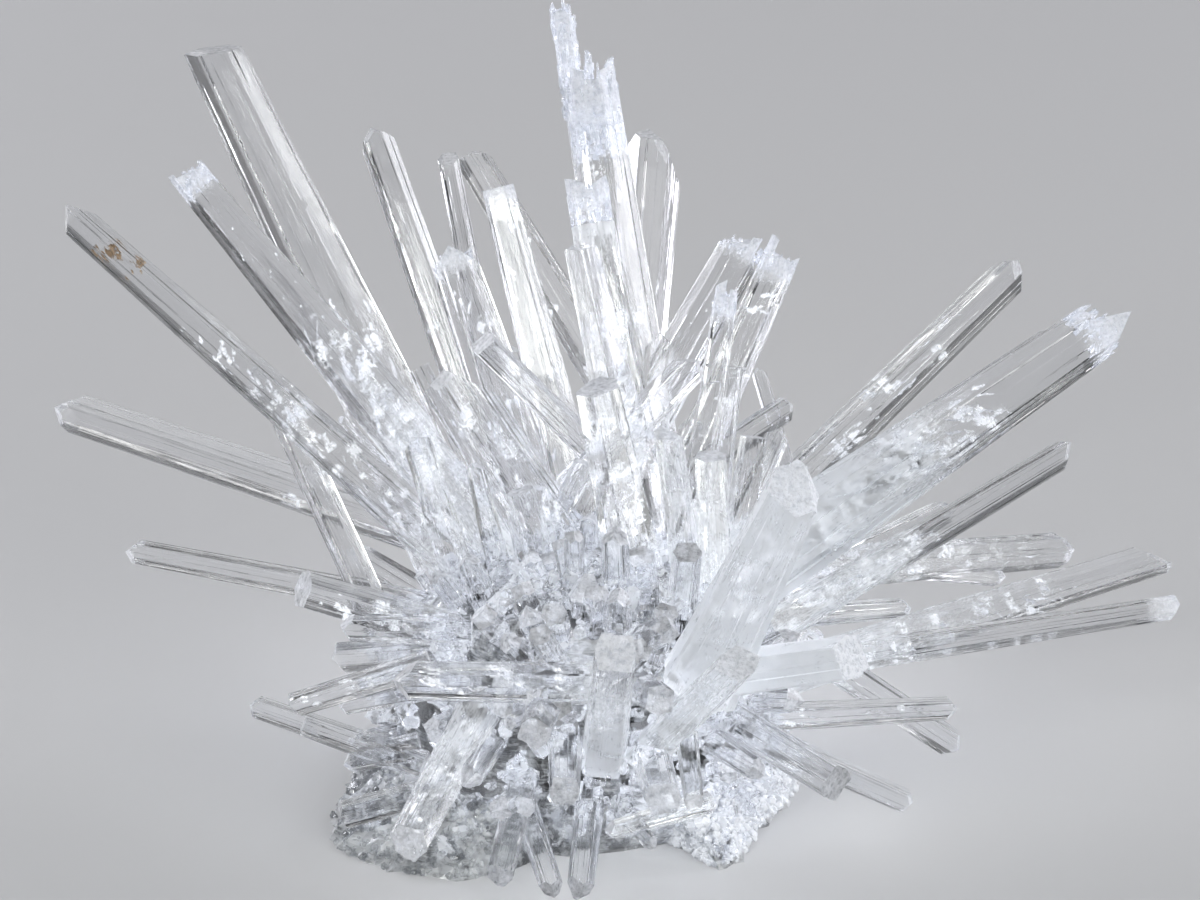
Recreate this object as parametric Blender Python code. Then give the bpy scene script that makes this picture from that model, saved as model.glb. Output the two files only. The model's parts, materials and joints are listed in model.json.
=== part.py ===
"""Quartz cluster: clear prisms that grew together from one milky heart on a grainy foot.

Blender 4.5, metres, +Z up. The cluster is one solid, cut off flat where it stands.
The crystals are laid out on a front view that looks down at the cluster by VIEW_TILT,
so each end of a crystal has three sizes in millimetres: across (to the right), up
(in the front view, from the heart) and away (from the viewer).
"""

import math
import random

import bmesh
import bpy
from mathutils import Matrix, Vector

NAME = "quartz_cluster"
MM = 0.001

# The front view that the crystals are laid out on, in millimetres and degrees.
VIEW_TILT = 25.0
VIEW_DISTANCE = 433.0
VIEW_CENTRE_UP = 27.3
HEART_HEIGHT = 19.0

# The heart: a lumpy dome that all the crystals stand in, as centre and radii.
HEART_CENTRE = (-3.0, 2.0, 11.0)
HEART_RADII = (26.0, 22.0, 23.0)
HEART_LUMPS = 0.07

# The grainy foot: a low slab with this outline on the floor, its edge set with rough chips.
FOOT_OUTLINE = (
    (-35, -9), (-34, -16), (-28, -20.5), (-18, -23), (-13, -22), (-7, -17), (6, -12),
    (11, -16), (15, -20.5), (18, -18.5), (20, -12.5), (24, -6), (27.5, 3), (21, 17),
    (8, 24), (-8, 26), (-22, 21), (-32, 8),
)
FOOT_HEIGHT = 7.0
FOOT_SHRINK = 0.8
CHIPS_ROUND = 44
CHIP_SIZES = (2.2, 4.2)
CHIP_POINTS = 11

# Short crystals that fill the heart between the long ones.
STUB_COUNT = 44
STUB_LENGTHS = (5.0, 11.0)
STUB_WIDTHS = (2.2, 4.4)

SEED = 7
REGULAR_SPREAD = 0.5
REGULAR_DEPTH = math.sin(math.radians(60))
BEYOND_TIP = 14.0
FLOOR_BOX = 300.0

# Ways a crystal ends: each face is (turn, lean, beyond). The turn is round the crystal,
# 0 to the right of its growth in the front view, 90 to the viewer and 180 to the left;
# the lean is from square, and beyond moves the face out along the crystal.
FLAT = ((90, 18, 0),)
SQUARE = ((100, 6, 0),)
CHISEL = ((10, 42, 0), (190, 36, 0))
ROOF = ((0, 58, 0), (180, 17, 0), (90, 50, 1.6))
POINT = ((20, 48, 0), (140, 48, 0), (260, 48, 0))
STUMP = ((60, 14, 0), (210, 30, 0.6))

# name: tip (across, up, away), foot (across, up, away), width at tip and foot, depth and
# spread of the six sides (0.87 and 0.5 for a regular prism), twist, ending.
CRYSTALS = {
    # long blades on the left
    "rear_left_tall": ((-50.3, 79.2, 30), (-17.4, 11, 8), 8.0, 12.2, 0.8, 0.5, 0, ((60, 36, 0),)),
    "broken_blade": ((-53.6, 63.2, 2), (-9.9, 11, 0), 5.0, 10.2, 0.62, 0.55, 12, ((20, 16, 0),)),
    "west_long": (
        (-69.3, 58.3, 0), (-13, 8.2, 0), 4.5, 7.1, 0.8, 0.55, -10,
        ((160, 42, 0), (0, 66, 2.0)),
    ),
    "low_left_rear": (
        (-69.8, 32.6, 18), (-15.6, 14.4, 8), 5.9, 7.0, 0.8, 0.5, 15,
        ((0, 49, 0.4), (180, 33, 0.4)),
    ),
    "low_left_clear": ((-61.1, 14.3, 12), (-15.6, 5.7, 3), 3.6, 4.4, 0.9, 0.6, 20, CHISEL),
    "crosser": ((-43.9, 38.2, 9), (-26, -0.7, 0), 4.2, 4.6, 0.7, 0.5, 0, ((180, 15, 0), (0, 60, 0.5))),
    "sliver_behind_blade": ((-33.5, 31.6, 10), (-16.9, 12.6, 3), 2.2, 3.0, 0.9, 0.6, 0, CHISEL),
    # rear crystals, left of the middle
    "rear_slim": (
        (-29.4, 68.7, 25), (-8.5, 10, 6), 4.9, 5.8, 0.8, 0.55, 8,
        ((10, 40, 0), (180, 40, 0)),
    ),
    "rear_glint": ((-19.7, 65.1, 28), (-9.4, 10, 7), 3.0, 4.2, 0.9, 0.6, 10, ((90, 50, 0),)),
    "rear_leaning": (
        (-16.8, 65.6, 32), (10.9, 20, 7), 4.8, 6.8, 0.75, 0.55, -12,
        ((10, 36, 0), (90, 30, 0.4)),
    ),
    "rear_square": ((-13.3, 61.4, 16), (-0.3, 10, 3), 4.5, 7.5, 0.75, 0.6, 14, FLAT),
    "capped_left": (
        (-19.3, 52.9, 14), (-4.8, 10, 3), 6.4, 8.4, 0.75, 0.5, 0,
        ((180, 42, 0.4), (0, 46, 0.4)),
    ),
    # the tall middle
    "top_column": ((-1.3, 75.1, 20), (8.2, 10, 3), 7.5, 10.6, 0.75, 0.5, 10, STUMP),
    "top_splinter": (
        (-5.0, 84.4, 20), (-2.3, 64, 20), 3.3, 2.4, 0.8, 0.6, 0,
        ((0, 35, 0), (180, 30, 0.2)),
    ),
    "top_needle_left": ((-1.6, 78.9, 20), (-0.9, 70, 20), 0.9, 1.8, 0.9, 0.6, 0, CHISEL),
    "top_needle_right": ((1.2, 77.7, 20), (1.5, 69, 20), 1.3, 2.2, 0.9, 0.6, 0, CHISEL),
    "rear_rounded": (
        (7.2, 67.9, 36), (2.4, 10, 6), 8.4, 6.6, 0.8, 0.5, 0,
        ((0, 60, -0.6), (180, 46, 2.1), (90, 50, 1.6)),
    ),
    "middle_tall": (
        (-1.6, 54.2, 2), (8.5, 10, -2), 6.6, 10.2, 0.8, 0.5, -14,
        ((90, 22, 0), (200, 45, 2.2)),
    ),
    "middle_stub": ((-1.7, 61.4, 2), (1.8, 38, 1), 5.8, 5.4, 0.8, 0.6, 6, STUMP),
    "middle_front": (
        (-0.4, 35.5, -6), (6, 5.2, -4), 6.2, 8.8, 0.85, 0.6, -24,
        ((90, 20, 0), (200, 40, 2.0)),
    ),
    # front, left of the middle
    "block_left": ((-15.2, 41.2, -4), (5.2, 21.2, -2), 3.6, 3.9, 0.85, 0.75, 8, ((90, 25, 0),)),
    "wide_left": ((-20.2, 37.7, -2), (-3.9, 12.7, -3), 8.2, 9.3, 0.7, 0.6, -8, ROOF),
    "wide_left_companion": ((-23.6, 38.0, 1), (-15.6, 21.8, 0), 3.1, 4.0, 0.9, 0.7, 5, SQUARE),
    "strip_left": (
        (-24.0, 28.9, -4), (-16.9, 6.5, -3), 4.1, 5.2, 0.85, 0.6, 20,
        ((180, 45, 0.5), (0, 15, 0)),
    ),
    "slim_left": ((-16.4, 25.6, -5), (-12.4, 9.1, -4), 2.9, 3.5, 0.9, 0.6, 20, CHISEL),
    "framed_left": ((-10.4, 22.0, -8), (-5.7, 7.8, -5), 3.6, 4.4, 0.8, 0.7, 0, SQUARE),
    "small_crosser": ((-2.2, 25.7, -5), (-6.5, 16.0, -3), 2.5, 2.8, 0.9, 0.7, 0, SQUARE),
    # right of the middle
    "leaning_block": (
        (12.4, 38.7, -4), (-3.9, 22.2, 0), 4.6, 5.0, 0.8, 0.6, -10,
        ((180, 44, 0.3), (0, 30, 0.3)),
    ),
    "dark_faced": (
        (18.9, 54.4, 4), (-1.6, 18.2, 0), 6.1, 7.6, 0.8, 0.6, 0,
        ((150, 32, 0), (0, 60, 2.0)),
    ),
    "jagged_right": (
        (23.5, 52.3, 2), (5.5, 11, 0), 5.0, 6.2, 0.8, 0.55, 14,
        ((0, 18, 0), (120, 30, 0.8)),
    ),
    "capped_right": ((16.4, 47.5, -1), (11.7, 15, -3), 3.1, 4.2, 0.9, 0.65, 10, STUMP),
    "pale_right": ((17.3, 38.1, -3), (14.2, 13, -3), 2.6, 3.6, 0.9, 0.7, 0, SQUARE),
    "upper_right_short": (
        (24.8, 33.1, 3), (5.2, 20.2, 0), 3.5, 4.2, 0.8, 0.6, 10,
        ((180, 20, 0), (0, 33, 0)),
    ),
    "hidden_cap": ((7.9, 42.4, 0), (5.9, 18.2, -1), 3.9, 4.6, 0.9, 0.6, 0, ((0, 45, 0), (180, 45, 0))),
    "thin_rear_right": ((20.5, 37.8, 8), (25.5, 20.8, 3), 2.0, 2.4, 0.9, 0.6, 0, CHISEL),
    "notch_block": ((23.4, 29.9, -2), (17.6, 17.0, -2), 3.2, 4.2, 0.9, 0.7, 12, CHISEL),
    "notch_block_front": ((20.0, 29.0, -4), (17.6, 14.0, -4), 3.6, 4.4, 0.9, 0.7, -10, SQUARE),
    "inner_right": (
        (8.8, 29.6, -6), (11.7, 7.8, -5), 3.8, 5.0, 0.85, 0.6, 18,
        ((90, 30, 0), (0, 35, 0.4)),
    ),
    "inner_far_right": ((14.4, 26.5, -7), (15, 7.8, -6), 4.2, 5.0, 0.85, 0.6, -16, FLAT),
    # long blades on the right
    "right_bright": (
        (53.9, 50.6, 18), (13, 11.0, 4), 5.5, 7.2, 0.8, 0.55, 16,
        ((180, 52, 1.7), (0, 36, 0.2)),
    ),
    "right_broad": (
        (65.5, 43.6, 0), (18.2, 10.9, 0), 7.8, 11.6, 0.55, 0.6, -8,
        ((180, 68, 2.5), (0, 58, 4.3)),
    ),
    "right_clear": (
        (60.6, 27.1, 0), (18.9, 2, 0), 3.8, 5.0, 0.85, 0.6, 10,
        ((180, 56, 2.2), (0, 42, 0.2)),
    ),
    "right_rear_low": (
        (60.8, 14.4, 30), (16.5, 11.0, 2), 5.0, 6.0, 0.8, 0.6, 0,
        ((170, 45, 0), (10, 40, 0)),
    ),
    "right_rear_hidden": ((45.5, 19.6, 12), (14, 4.5, 3), 3.6, 4.4, 0.85, 0.6, 8, CHISEL),
    "right_rear_small": ((52.0, 10.7, 24), (16, 14.4, 3), 2.6, 3.4, 0.9, 0.6, 0, CHISEL),
    "right_short": ((40.0, 6.8, 6), (22.1, 5.6, 1), 2.9, 3.4, 0.9, 0.6, 12, ((180, 40, 0), (0, 35, 0))),
    "right_streaked": (
        (72.8, 13.4, 8), (23.4, -2, 0), 4.7, 6.2, 0.75, 0.55, -10,
        ((180, 50, -0.5), (0, 12, 0.9)),
    ),
    "right_longest": (
        (75.1, 7.0, -2), (24, -0.9, 0), 3.2, 4.4, 0.85, 0.6, 14,
        ((180, 20, 0.3), (0, 40, 0), (90, 40, 0.6)),
    ),
    "right_low": ((46.3, -6.2, -10), (18.2, -7.6, -5), 3.2, 4.2, 0.85, 0.6, -16, CHISEL),
    "right_low_behind": (
        (46.4, -11.3, 0), (26, 2.2, -2), 3.9, 4.4, 0.8, 0.6, 8,
        ((0, 40, 0.2), (180, 30, 0)),
    ),
    "right_low_clear": (
        (40.3, -18.6, -5), (18.2, -8.7, -6), 3.2, 3.8, 0.9, 0.6, 0,
        ((10, 25, 0), (190, 30, 0)),
    ),
    "right_square": ((30.6, -16.0, -20), (15.6, -6.6, -10), 4.5, 4.8, 0.9, 0.8, 6, ((80, 12, 0),)),
    # crystals that lean to the viewer
    "near_tall": (
        (25.6, 22.4, -35), (13, -3.3, -15), 7.0, 11.0, 0.75, 0.6, 18,
        ((90, 30, 0), (0, 40, 1.5)),
    ),
    "near_block": ((32.6, 0.4, -30), (13, -2.2, -12), 5.6, 6.2, 0.85, 0.75, -10, SQUARE),
    "near_slanted": ((17.9, -0.4, -27), (5.2, -13, -15), 4.4, 5.0, 0.85, 0.75, 0, ((120, 35, 0),)),
    "near_middle": ((2.0, 1.0, -38), (0.4, -13, -14), 5.0, 5.8, 0.85, 0.75, 0, ((90, 20, 0),)),
    # crystals low on the left
    "hex_left": ((-38.6, 9.2, -10), (-15.6, 2.6, -8), 5.1, 6.0, 0.9, 0.55, 18, ((90, 22, 0),)),
    "small_hex_left": ((-33.6, 4.2, -13), (-16.9, 3.9, -10), 3.6, 4.2, 0.9, 0.6, 0, CHISEL),
    "dark_hex_left": (
        (-34.8, 0.2, -10), (-20.8, 1.3, -8), 4.2, 4.4, 0.9, 0.6, 14,
        ((180, 40, 0), (0, 20, 0)),
    ),
    "low_slim_left": (
        (-40.3, -6.0, -15), (-22.1, -0.3, -12), 3.3, 3.8, 0.9, 0.6, 24,
        ((180, 35, 0), (0, 12, 0)),
    ),
    "low_thin_left": ((-33.8, -6.1, -10), (-22, -3.8, -8), 2.3, 2.8, 0.9, 0.6, 0, CHISEL),
    "low_clear_left": (
        (-45.2, -5.8, -8), (-22.8, -13.6, -11), 3.2, 4.0, 0.9, 0.6, 12,
        ((0, 30, 0), (180, 30, 0)),
    ),
    "low_inner_left": ((-38.6, -8.5, -12), (-26, -13, -11), 2.6, 3.2, 0.9, 0.6, 0, SQUARE),
    "low_skirt_left": ((-33.2, -13.3, -8), (-23.4, -11, -8), 3.1, 3.6, 0.9, 0.6, 0, CHISEL),
    "front_lying": (
        (-26.5, -2.7, -26), (0, -3, -19), 5.1, 5.6, 0.85, 0.6, 10,
        ((0, 45, 0), (180, 36, 0)),
    ),
    "front_down_left": (
        (-25.0, -23.8, -30), (-15.3, -5.6, -15), 5.1, 6.0, 0.85, 0.6, -16,
        ((90, 25, 0), (0, 25, 0.6)),
    ),
    "low_square_left": (
        (-34.0, -20.3, -14), (-20, -16.5, -11), 3.8, 4.0, 0.9, 0.7, 10,
        ((10, 20, 0), (190, 25, 0)),
    ),
    # crystals in the front of the heart
    "core_grey": (
        (-2.2, 9.4, -14), (-1.3, -2, -6), 4.2, 4.8, 0.85, 0.6, 10,
        ((90, 30, 0), (190, 50, 1.0)),
    ),
    "core_upper_right": ((5.2, 13.5, -10), (6.5, 2, -5), 3.8, 4.6, 0.85, 0.6, -14, FLAT),
    "core_long_left": ((-13.0, 7.6, -13), (-5.0, -1, -6), 2.6, 3.4, 0.85, 0.6, 20, CHISEL),
    "core_upper_left": ((-7.0, 13.2, -9), (-5.0, 3, -4), 3.2, 4.0, 0.85, 0.6, 0, SQUARE),
    "core_far_left": ((-17.4, 13.5, -9), (-13.0, 2, -5), 3.2, 4.4, 0.85, 0.6, 12, CHISEL),
    "core_under_tall": ((11.4, 14.0, -13), (9.8, 1, -6), 3.8, 4.6, 0.85, 0.6, -10, FLAT),
    "core_short_left": ((-10.4, 10.0, -16), (-6.5, -1, -7), 3.0, 4.0, 0.85, 0.6, 15, POINT),
    "core_short_middle": ((-6.0, 6.0, -18), (-4.0, -3, -8), 3.4, 4.2, 0.85, 0.6, 0, FLAT),
    "core_short_right": ((2.4, 8.6, -17), (2.5, -3, -7), 3.2, 4.0, 0.85, 0.6, 12, CHISEL),
    "core_beside_tall": ((8.6, 6.2, -18), (5.5, -4, -8), 3.2, 4.2, 0.85, 0.6, 0, SQUARE),
    "core_above_front": ((-12.0, 2.6, -20), (-6.0, -4, -9), 3.0, 3.8, 0.85, 0.6, 10, CHISEL),
    "core_lower_left": ((-8.5, -9.5, -29), (-6.5, -4, -12), 4.0, 5.0, 0.85, 0.7, 14, SQUARE),
    "core_lower_middle": ((-4.6, -17.0, -27), (-4.5, -8, -12), 3.8, 4.8, 0.85, 0.7, 0, FLAT),
    "core_lower_right": ((8.2, -18.0, -25), (5.4, -8, -11), 4.6, 5.6, 0.8, 0.7, 10, FLAT),
    "core_right_low": ((20.6, -14.4, -20), (12.5, -9, -9), 3.0, 3.8, 0.85, 0.6, 0, CHISEL),
    "core_right": ((7.8, -5.2, -25), (4.5, -3, -10), 3.8, 4.8, 0.85, 0.7, -12, SQUARE),
    "core_left_low": ((-17.0, -15.5, -25), (-12.5, -8, -11), 3.2, 4.2, 0.85, 0.6, 8, CHISEL),
    "core_far_low_left": ((-22.5, -9.5, -20), (-14.0, -6, -10), 3.2, 4.0, 0.85, 0.6, 0, POINT),
    # small ones that hang over the front of the foot
    "hanging_left": (
        (-13.1, -28.2, -28), (-9.8, -15, -13), 3.4, 4.0, 0.85, 0.7, 10,
        ((0, 30, 0), (180, 20, 0)),
    ),
    "hanging_middle": ((-6.1, -30.0, -24), (-10.5, -17, -11), 3.0, 3.6, 0.85, 0.6, 14, CHISEL),
    "hanging_right": ((-2.6, -30.1, -25), (-1, -16, -10), 3.4, 4.0, 0.85, 0.6, -12, CHISEL),
    "hanging_thin": ((6.8, -24.0, -20), (2, -18.5, -12), 2.0, 2.6, 0.8, 0.6, 0, CHISEL),
    "hanging_far_right": ((12.2, -18.4, -28), (11.2, -9.8, -18), 2.4, 3.0, 0.85, 0.7, 0, SQUARE),
    "lying_front": ((1.0, -22.3, -20), (14.3, -18.4, -16), 2.5, 3.0, 0.9, 0.6, 0, CHISEL),
    # the far side
    "far_up": ((8, 44, 40), (3, 8, 5), 5.2, 7.5, 0.8, 0.55, 10, POINT),
    "far_up_left": ((-12, 40, 44), (-5, 8, 6), 4.6, 6.8, 0.85, 0.55, -10, CHISEL),
    "far_right": ((22, 24, 50), (8, 6, 8), 5.4, 7.6, 0.75, 0.6, 12, ((0, 40, 0), (180, 30, 0))),
    "far_left": ((-24, 22, 48), (-10, 6, 8), 5.0, 7.0, 0.8, 0.55, 0, POINT),
    "far_middle": ((2, 22, 56), (0, 5, 8), 4.8, 7.2, 0.8, 0.6, 16, CHISEL),
    "far_low_right": ((14, 12, 46), (8, 2, 10), 4.0, 5.6, 0.85, 0.6, 0, SQUARE),
    "far_low_left": ((-13, 10, 44), (-8, 2, 10), 3.8, 5.4, 0.85, 0.6, 10, CHISEL),
    "far_low_middle": ((2, 7, 42), (1, 0, 10), 3.4, 5.0, 0.9, 0.6, 0, POINT),
    "far_side_right": ((30, 12, 34), (16, 3, 8), 3.6, 5.2, 0.85, 0.6, 0, CHISEL),
    "far_side_left": ((-32, 14, 28), (-16, 4, 8), 3.6, 5.0, 0.85, 0.6, 0, POINT),
    "far_high_left": ((-16, 27, 42), (-8, 9, 8), 3.8, 5.6, 0.85, 0.6, 14, ((40, 35, 0), (220, 30, 0))),
    "far_high_middle": ((-4, 32, 46), (-2, 9, 8), 3.6, 5.2, 0.85, 0.6, -8, POINT),
    "far_high_right": ((12, 30, 44), (6, 9, 8), 4.0, 5.8, 0.8, 0.6, 0, SQUARE),
    "far_slope_left": ((-20, 15, 40), (-12, 5, 8), 3.6, 5.0, 0.85, 0.6, 10, SQUARE),
    "far_slope_right": ((26, 17, 40), (13, 5, 9), 3.4, 4.8, 0.85, 0.6, -14, POINT),
    "far_upper_left": ((-23, 22, 28), (-12, 6, 6), 3.4, 4.8, 0.85, 0.6, 0, CHISEL),
    "far_upper_right": ((21, 25, 26), (11, 7, 6), 3.6, 5.0, 0.85, 0.6, 8, POINT),
    "far_floor_left": ((-20, 6, 34), (-11, 1, 11), 3.6, 5.0, 0.85, 0.6, -12, CHISEL),
    "far_floor_middle": ((-6, 4, 40), (-4, 0, 12), 3.4, 4.8, 0.85, 0.6, 6, POINT),
    "far_floor_right": ((19, 5, 36), (11, 0, 12), 3.6, 5.2, 0.8, 0.6, 0, SQUARE),
    "far_corner_left": ((-29, 5, 20), (-18, 2, 7), 3.2, 4.4, 0.85, 0.6, 0, POINT),
    "far_corner_right": ((28, 3, 22), (18, 1, 7), 3.2, 4.4, 0.85, 0.6, 16, CHISEL),
}

# Crystals whose ends broke off rough: the shards left standing on each, as from and to
# in shares of the half-width across, height in millimetres, and lean of the shard's top.
BROKEN = {
    "broken_blade": ((-1.0, -0.6, 1.2, 35), (0.5, 1.0, -0.5, -30)),
    "top_column": ((-1.0, -0.2, 1.5, 30), (0.3, 1.0, 1.1, -35)),
    "middle_stub": ((-1.0, -0.1, 1.0, 25), (0.25, 1.0, 0.7, -30)),
    "dark_faced": ((0.2, 0.6, 0.8, -25),),
    "jagged_right": ((-1.0, -0.45, 2.2, 30), (0.5, 1.0, 0.5, -45)),
    "capped_right": ((-1.0, -0.1, 1.3, -35), (0.3, 1.0, 0.5, 20)),
    "right_broad": ((-0.95, -0.5, -1.2, -25),),
}
SHARD_ROOT = 12.0
SHARD_INSET = 0.97


def clear_scene():
    for obj in list(bpy.data.objects):
        bpy.data.objects.remove(obj, do_unlink=True)


def new_collection(name, hidden):
    collection = bpy.data.collections.new(name)
    bpy.context.scene.collection.children.link(collection)
    collection.hide_render = hidden
    return collection


def quartz_material():
    """Clear, colourless quartz."""
    material = bpy.data.materials.new("clear_quartz")
    material.use_nodes = True
    shader = material.node_tree.nodes["Principled BSDF"]
    shader.inputs["Base Color"].default_value = (0.93, 0.95, 0.97, 1.0)
    shader.inputs["Roughness"].default_value = 0.08
    shader.inputs["Metallic"].default_value = 0.0
    shader.inputs["IOR"].default_value = 1.544
    shader.inputs["Transmission Weight"].default_value = 0.9
    material.diffuse_color = (0.80, 0.84, 0.90, 1.0)
    return material


def view_axes():
    """The front view's directions: across, up and away."""
    tilt = math.radians(VIEW_TILT)
    across = Vector((1.0, 0.0, 0.0))
    up = Vector((0.0, math.sin(tilt), math.cos(tilt)))
    away = Vector((0.0, math.cos(tilt), -math.sin(tilt)))
    return across, up, away


def from_front_view(place):
    """The point in metres that the front view shows at (across, up), that far away."""
    across, up, away = view_axes()
    spread = (VIEW_DISTANCE + place[2]) / VIEW_DISTANCE
    height = VIEW_CENTRE_UP + (place[1] - VIEW_CENTRE_UP) * spread
    point = across * place[0] * spread + up * height + away * place[2]
    return (point + Vector((0.0, 0.0, HEART_HEIGHT))) * MM


def crystal_frame(foot, tip):
    """Unit vectors right of the growth, to the viewer, and along the growth."""
    along = (tip - foot).normalized()
    to_viewer = -view_axes()[2]
    right = along.cross(to_viewer).normalized()
    near = right.cross(along)
    return right, near, along


def cut_end(bm, point, normal):
    """Cuts off what lies beyond the plane, and closes the cut."""
    geometry = bm.verts[:] + bm.edges[:] + bm.faces[:]
    cut = bmesh.ops.bisect_plane(bm, geom=geometry, plane_co=point, plane_no=normal, clear_outer=True)
    edges = [item for item in cut["geom_cut"] if isinstance(item, bmesh.types.BMEdge)]
    if edges:
        bmesh.ops.contextual_create(bm, geom=edges)


def prism(foot, tip, widths, depth, spread, twist, ending):
    """A six-sided prism from foot to tip, narrower at one end, with its end cut by faces."""
    right, near, along = crystal_frame(foot, tip)
    turned = Matrix.Rotation(math.radians(twist), 4, "Z")
    place = Matrix((right, near, along)).transposed().to_4x4()
    length = (tip - foot).length
    extra = BEYOND_TIP * MM
    taper = (widths[1] - widths[0]) / length
    bm = bmesh.new()
    bmesh.ops.create_cone(
        bm,
        cap_ends=True,
        segments=6,
        radius1=widths[1] / 2,
        radius2=max(widths[0] - taper * extra, widths[0] * 0.4) / 2,
        depth=length + extra,
    )
    regular = (spread / REGULAR_SPREAD, depth / REGULAR_DEPTH, 1)
    bmesh.ops.scale(bm, verts=bm.verts, vec=regular)
    bmesh.ops.translate(bm, verts=bm.verts, vec=(0, 0, (length + extra) / 2))
    bmesh.ops.transform(bm, matrix=Matrix.Translation(foot) @ place @ turned, verts=bm.verts)
    for turn, lean, beyond in ending:
        side = right * math.cos(math.radians(turn)) + near * math.sin(math.radians(turn))
        normal = along * math.cos(math.radians(lean)) + side * math.sin(math.radians(lean))
        cut_end(bm, tip + along * beyond * MM, normal)
    bmesh.ops.recalc_face_normals(bm, faces=bm.faces)
    return bm


def mesh_object(name, bm, collection):
    mesh = bpy.data.meshes.new(name)
    bm.to_mesh(mesh)
    bm.free()
    obj = bpy.data.objects.new(name, mesh)
    collection.objects.link(obj)
    return obj


def make_crystals(collection):
    for name, (tip, foot, tip_width, foot_width, depth, spread, twist, ending) in CRYSTALS.items():
        start = from_front_view(foot)
        end = from_front_view(tip)
        widths = (tip_width * MM, foot_width * MM)
        mesh_object(name, prism(start, end, widths, depth, spread, twist, ending), collection)


def make_shards(collection):
    """Slices of a broken crystal that stand a little higher than the rest of its end."""
    for name, shards in BROKEN.items():
        tip, foot, tip_width, foot_width, depth, spread, twist, _ = CRYSTALS[name]
        start = from_front_view(foot)
        end = from_front_view(tip)
        right, _, along = crystal_frame(start, end)
        widths = (tip_width * SHARD_INSET * MM, foot_width * SHARD_INSET * MM)
        half = tip_width / 2 * MM
        for index, (left_side, right_side, height, lean) in enumerate(shards):
            top = end + right * (left_side + right_side) / 2 * half + along * height * MM
            bm = prism(start, top, widths, depth, spread, twist, ())
            bmesh.ops.translate(bm, verts=bm.verts, vec=end - top + along * height * MM)
            slope = right * math.sin(math.radians(lean)) + along * math.cos(math.radians(lean))
            cut_end(bm, top, slope)
            cut_end(bm, end - along * SHARD_ROOT * MM, -along)
            cut_end(bm, end + right * left_side * half, -right)
            cut_end(bm, end + right * right_side * half, right)
            bmesh.ops.recalc_face_normals(bm, faces=bm.faces)
            mesh_object(f"{name}_shard_{index}", bm, collection)


def heart_direction(rng, lowest):
    """A random direction out of the heart that rises at least by lowest."""
    while True:
        way = Vector((rng.gauss(0, 1), rng.gauss(0, 1), rng.gauss(0, 1))).normalized()
        if way.z > lowest:
            return way


def on_heart(way, share):
    """The point at this share of the way from the heart's centre to its skin, in metres."""
    radii = HEART_RADII
    reach = 1 / math.sqrt(sum((way[axis] / radii[axis]) ** 2 for axis in range(3)))
    return (Vector(HEART_CENTRE) + way * reach * share) * MM


def make_heart(collection, rng):
    bm = bmesh.new()
    bmesh.ops.create_icosphere(bm, subdivisions=3, radius=1.0)
    for vert in bm.verts:
        way = vert.co.normalized()
        vert.co = on_heart(way, 1 + rng.uniform(-HEART_LUMPS, HEART_LUMPS))
    return mesh_object(NAME, bm, collection)


def make_stubs(collection, rng):
    for index in range(STUB_COUNT):
        way = heart_direction(rng, -0.15)
        foot = on_heart(way, 0.72)
        lean = Vector((rng.uniform(-0.5, 0.5), rng.uniform(-0.5, 0.5), rng.uniform(-0.2, 0.6)))
        reach = (1 - 0.72) * min(HEART_RADII) + rng.uniform(*STUB_LENGTHS)
        tip = foot + (way + lean).normalized() * reach * MM
        width = rng.uniform(*STUB_WIDTHS) * MM
        ending = rng.choice((CHISEL, SQUARE, POINT))
        shape = prism(foot, tip, (width * 0.85, width), 0.85, 0.6, rng.uniform(0, 60), ending)
        mesh_object(f"stub_{index:02d}", shape, collection)


def make_foot_slab(collection):
    """The low slab that the heart stands in, narrower at its top."""
    bm = bmesh.new()
    rim = [bm.verts.new((x * MM, y * MM, -MM)) for x, y in FOOT_OUTLINE]
    grown = bmesh.ops.extrude_face_region(bm, geom=[bm.faces.new(rim)])
    for item in grown["geom"]:
        if isinstance(item, bmesh.types.BMVert):
            item.co = Vector((item.co.x * FOOT_SHRINK, item.co.y * FOOT_SHRINK, FOOT_HEIGHT * MM))
    bmesh.ops.recalc_face_normals(bm, faces=bm.faces)
    mesh_object("foot_slab", bm, collection)


def on_outline(share):
    """The point that share of the way round the foot's outline."""
    place = share * len(FOOT_OUTLINE)
    corner = int(place)
    first = Vector(FOOT_OUTLINE[corner % len(FOOT_OUTLINE)])
    second = Vector(FOOT_OUTLINE[(corner + 1) % len(FOOT_OUTLINE)])
    return first.lerp(second, place - corner)


def make_chips(collection, rng):
    """Rough chips, each the hull of a few random points, set along the foot's edge."""
    for index in range(CHIPS_ROUND):
        edge = on_outline((index + rng.uniform(-0.3, 0.3)) % CHIPS_ROUND / CHIPS_ROUND)
        edge *= rng.uniform(0.8, 0.93)
        centre = Vector((edge.x, edge.y, rng.uniform(0.5, FOOT_HEIGHT + 1)))
        size = rng.uniform(*CHIP_SIZES)
        bm = bmesh.new()
        for _ in range(CHIP_POINTS):
            way = Vector((rng.gauss(0, 1), rng.gauss(0, 1), rng.gauss(0, 0.8))).normalized()
            bm.verts.new((centre + way * size) * MM)
        hull = bmesh.ops.convex_hull(bm, input=bm.verts[:])
        inside = [item for item in hull["geom_interior"] if isinstance(item, bmesh.types.BMVert)]
        bmesh.ops.delete(bm, geom=inside, context="VERTS")
        mesh_object(f"chip_{index:02d}", bm, collection)


def make_floor_cutter(collection):
    """A box below the floor, which cuts the cluster off flat."""
    bm = bmesh.new()
    bmesh.ops.create_cube(bm, size=FLOOR_BOX * MM)
    bmesh.ops.translate(bm, verts=bm.verts, vec=(0, 0, -FLOOR_BOX / 2 * MM))
    return mesh_object("below_the_floor", bm, collection)


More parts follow.
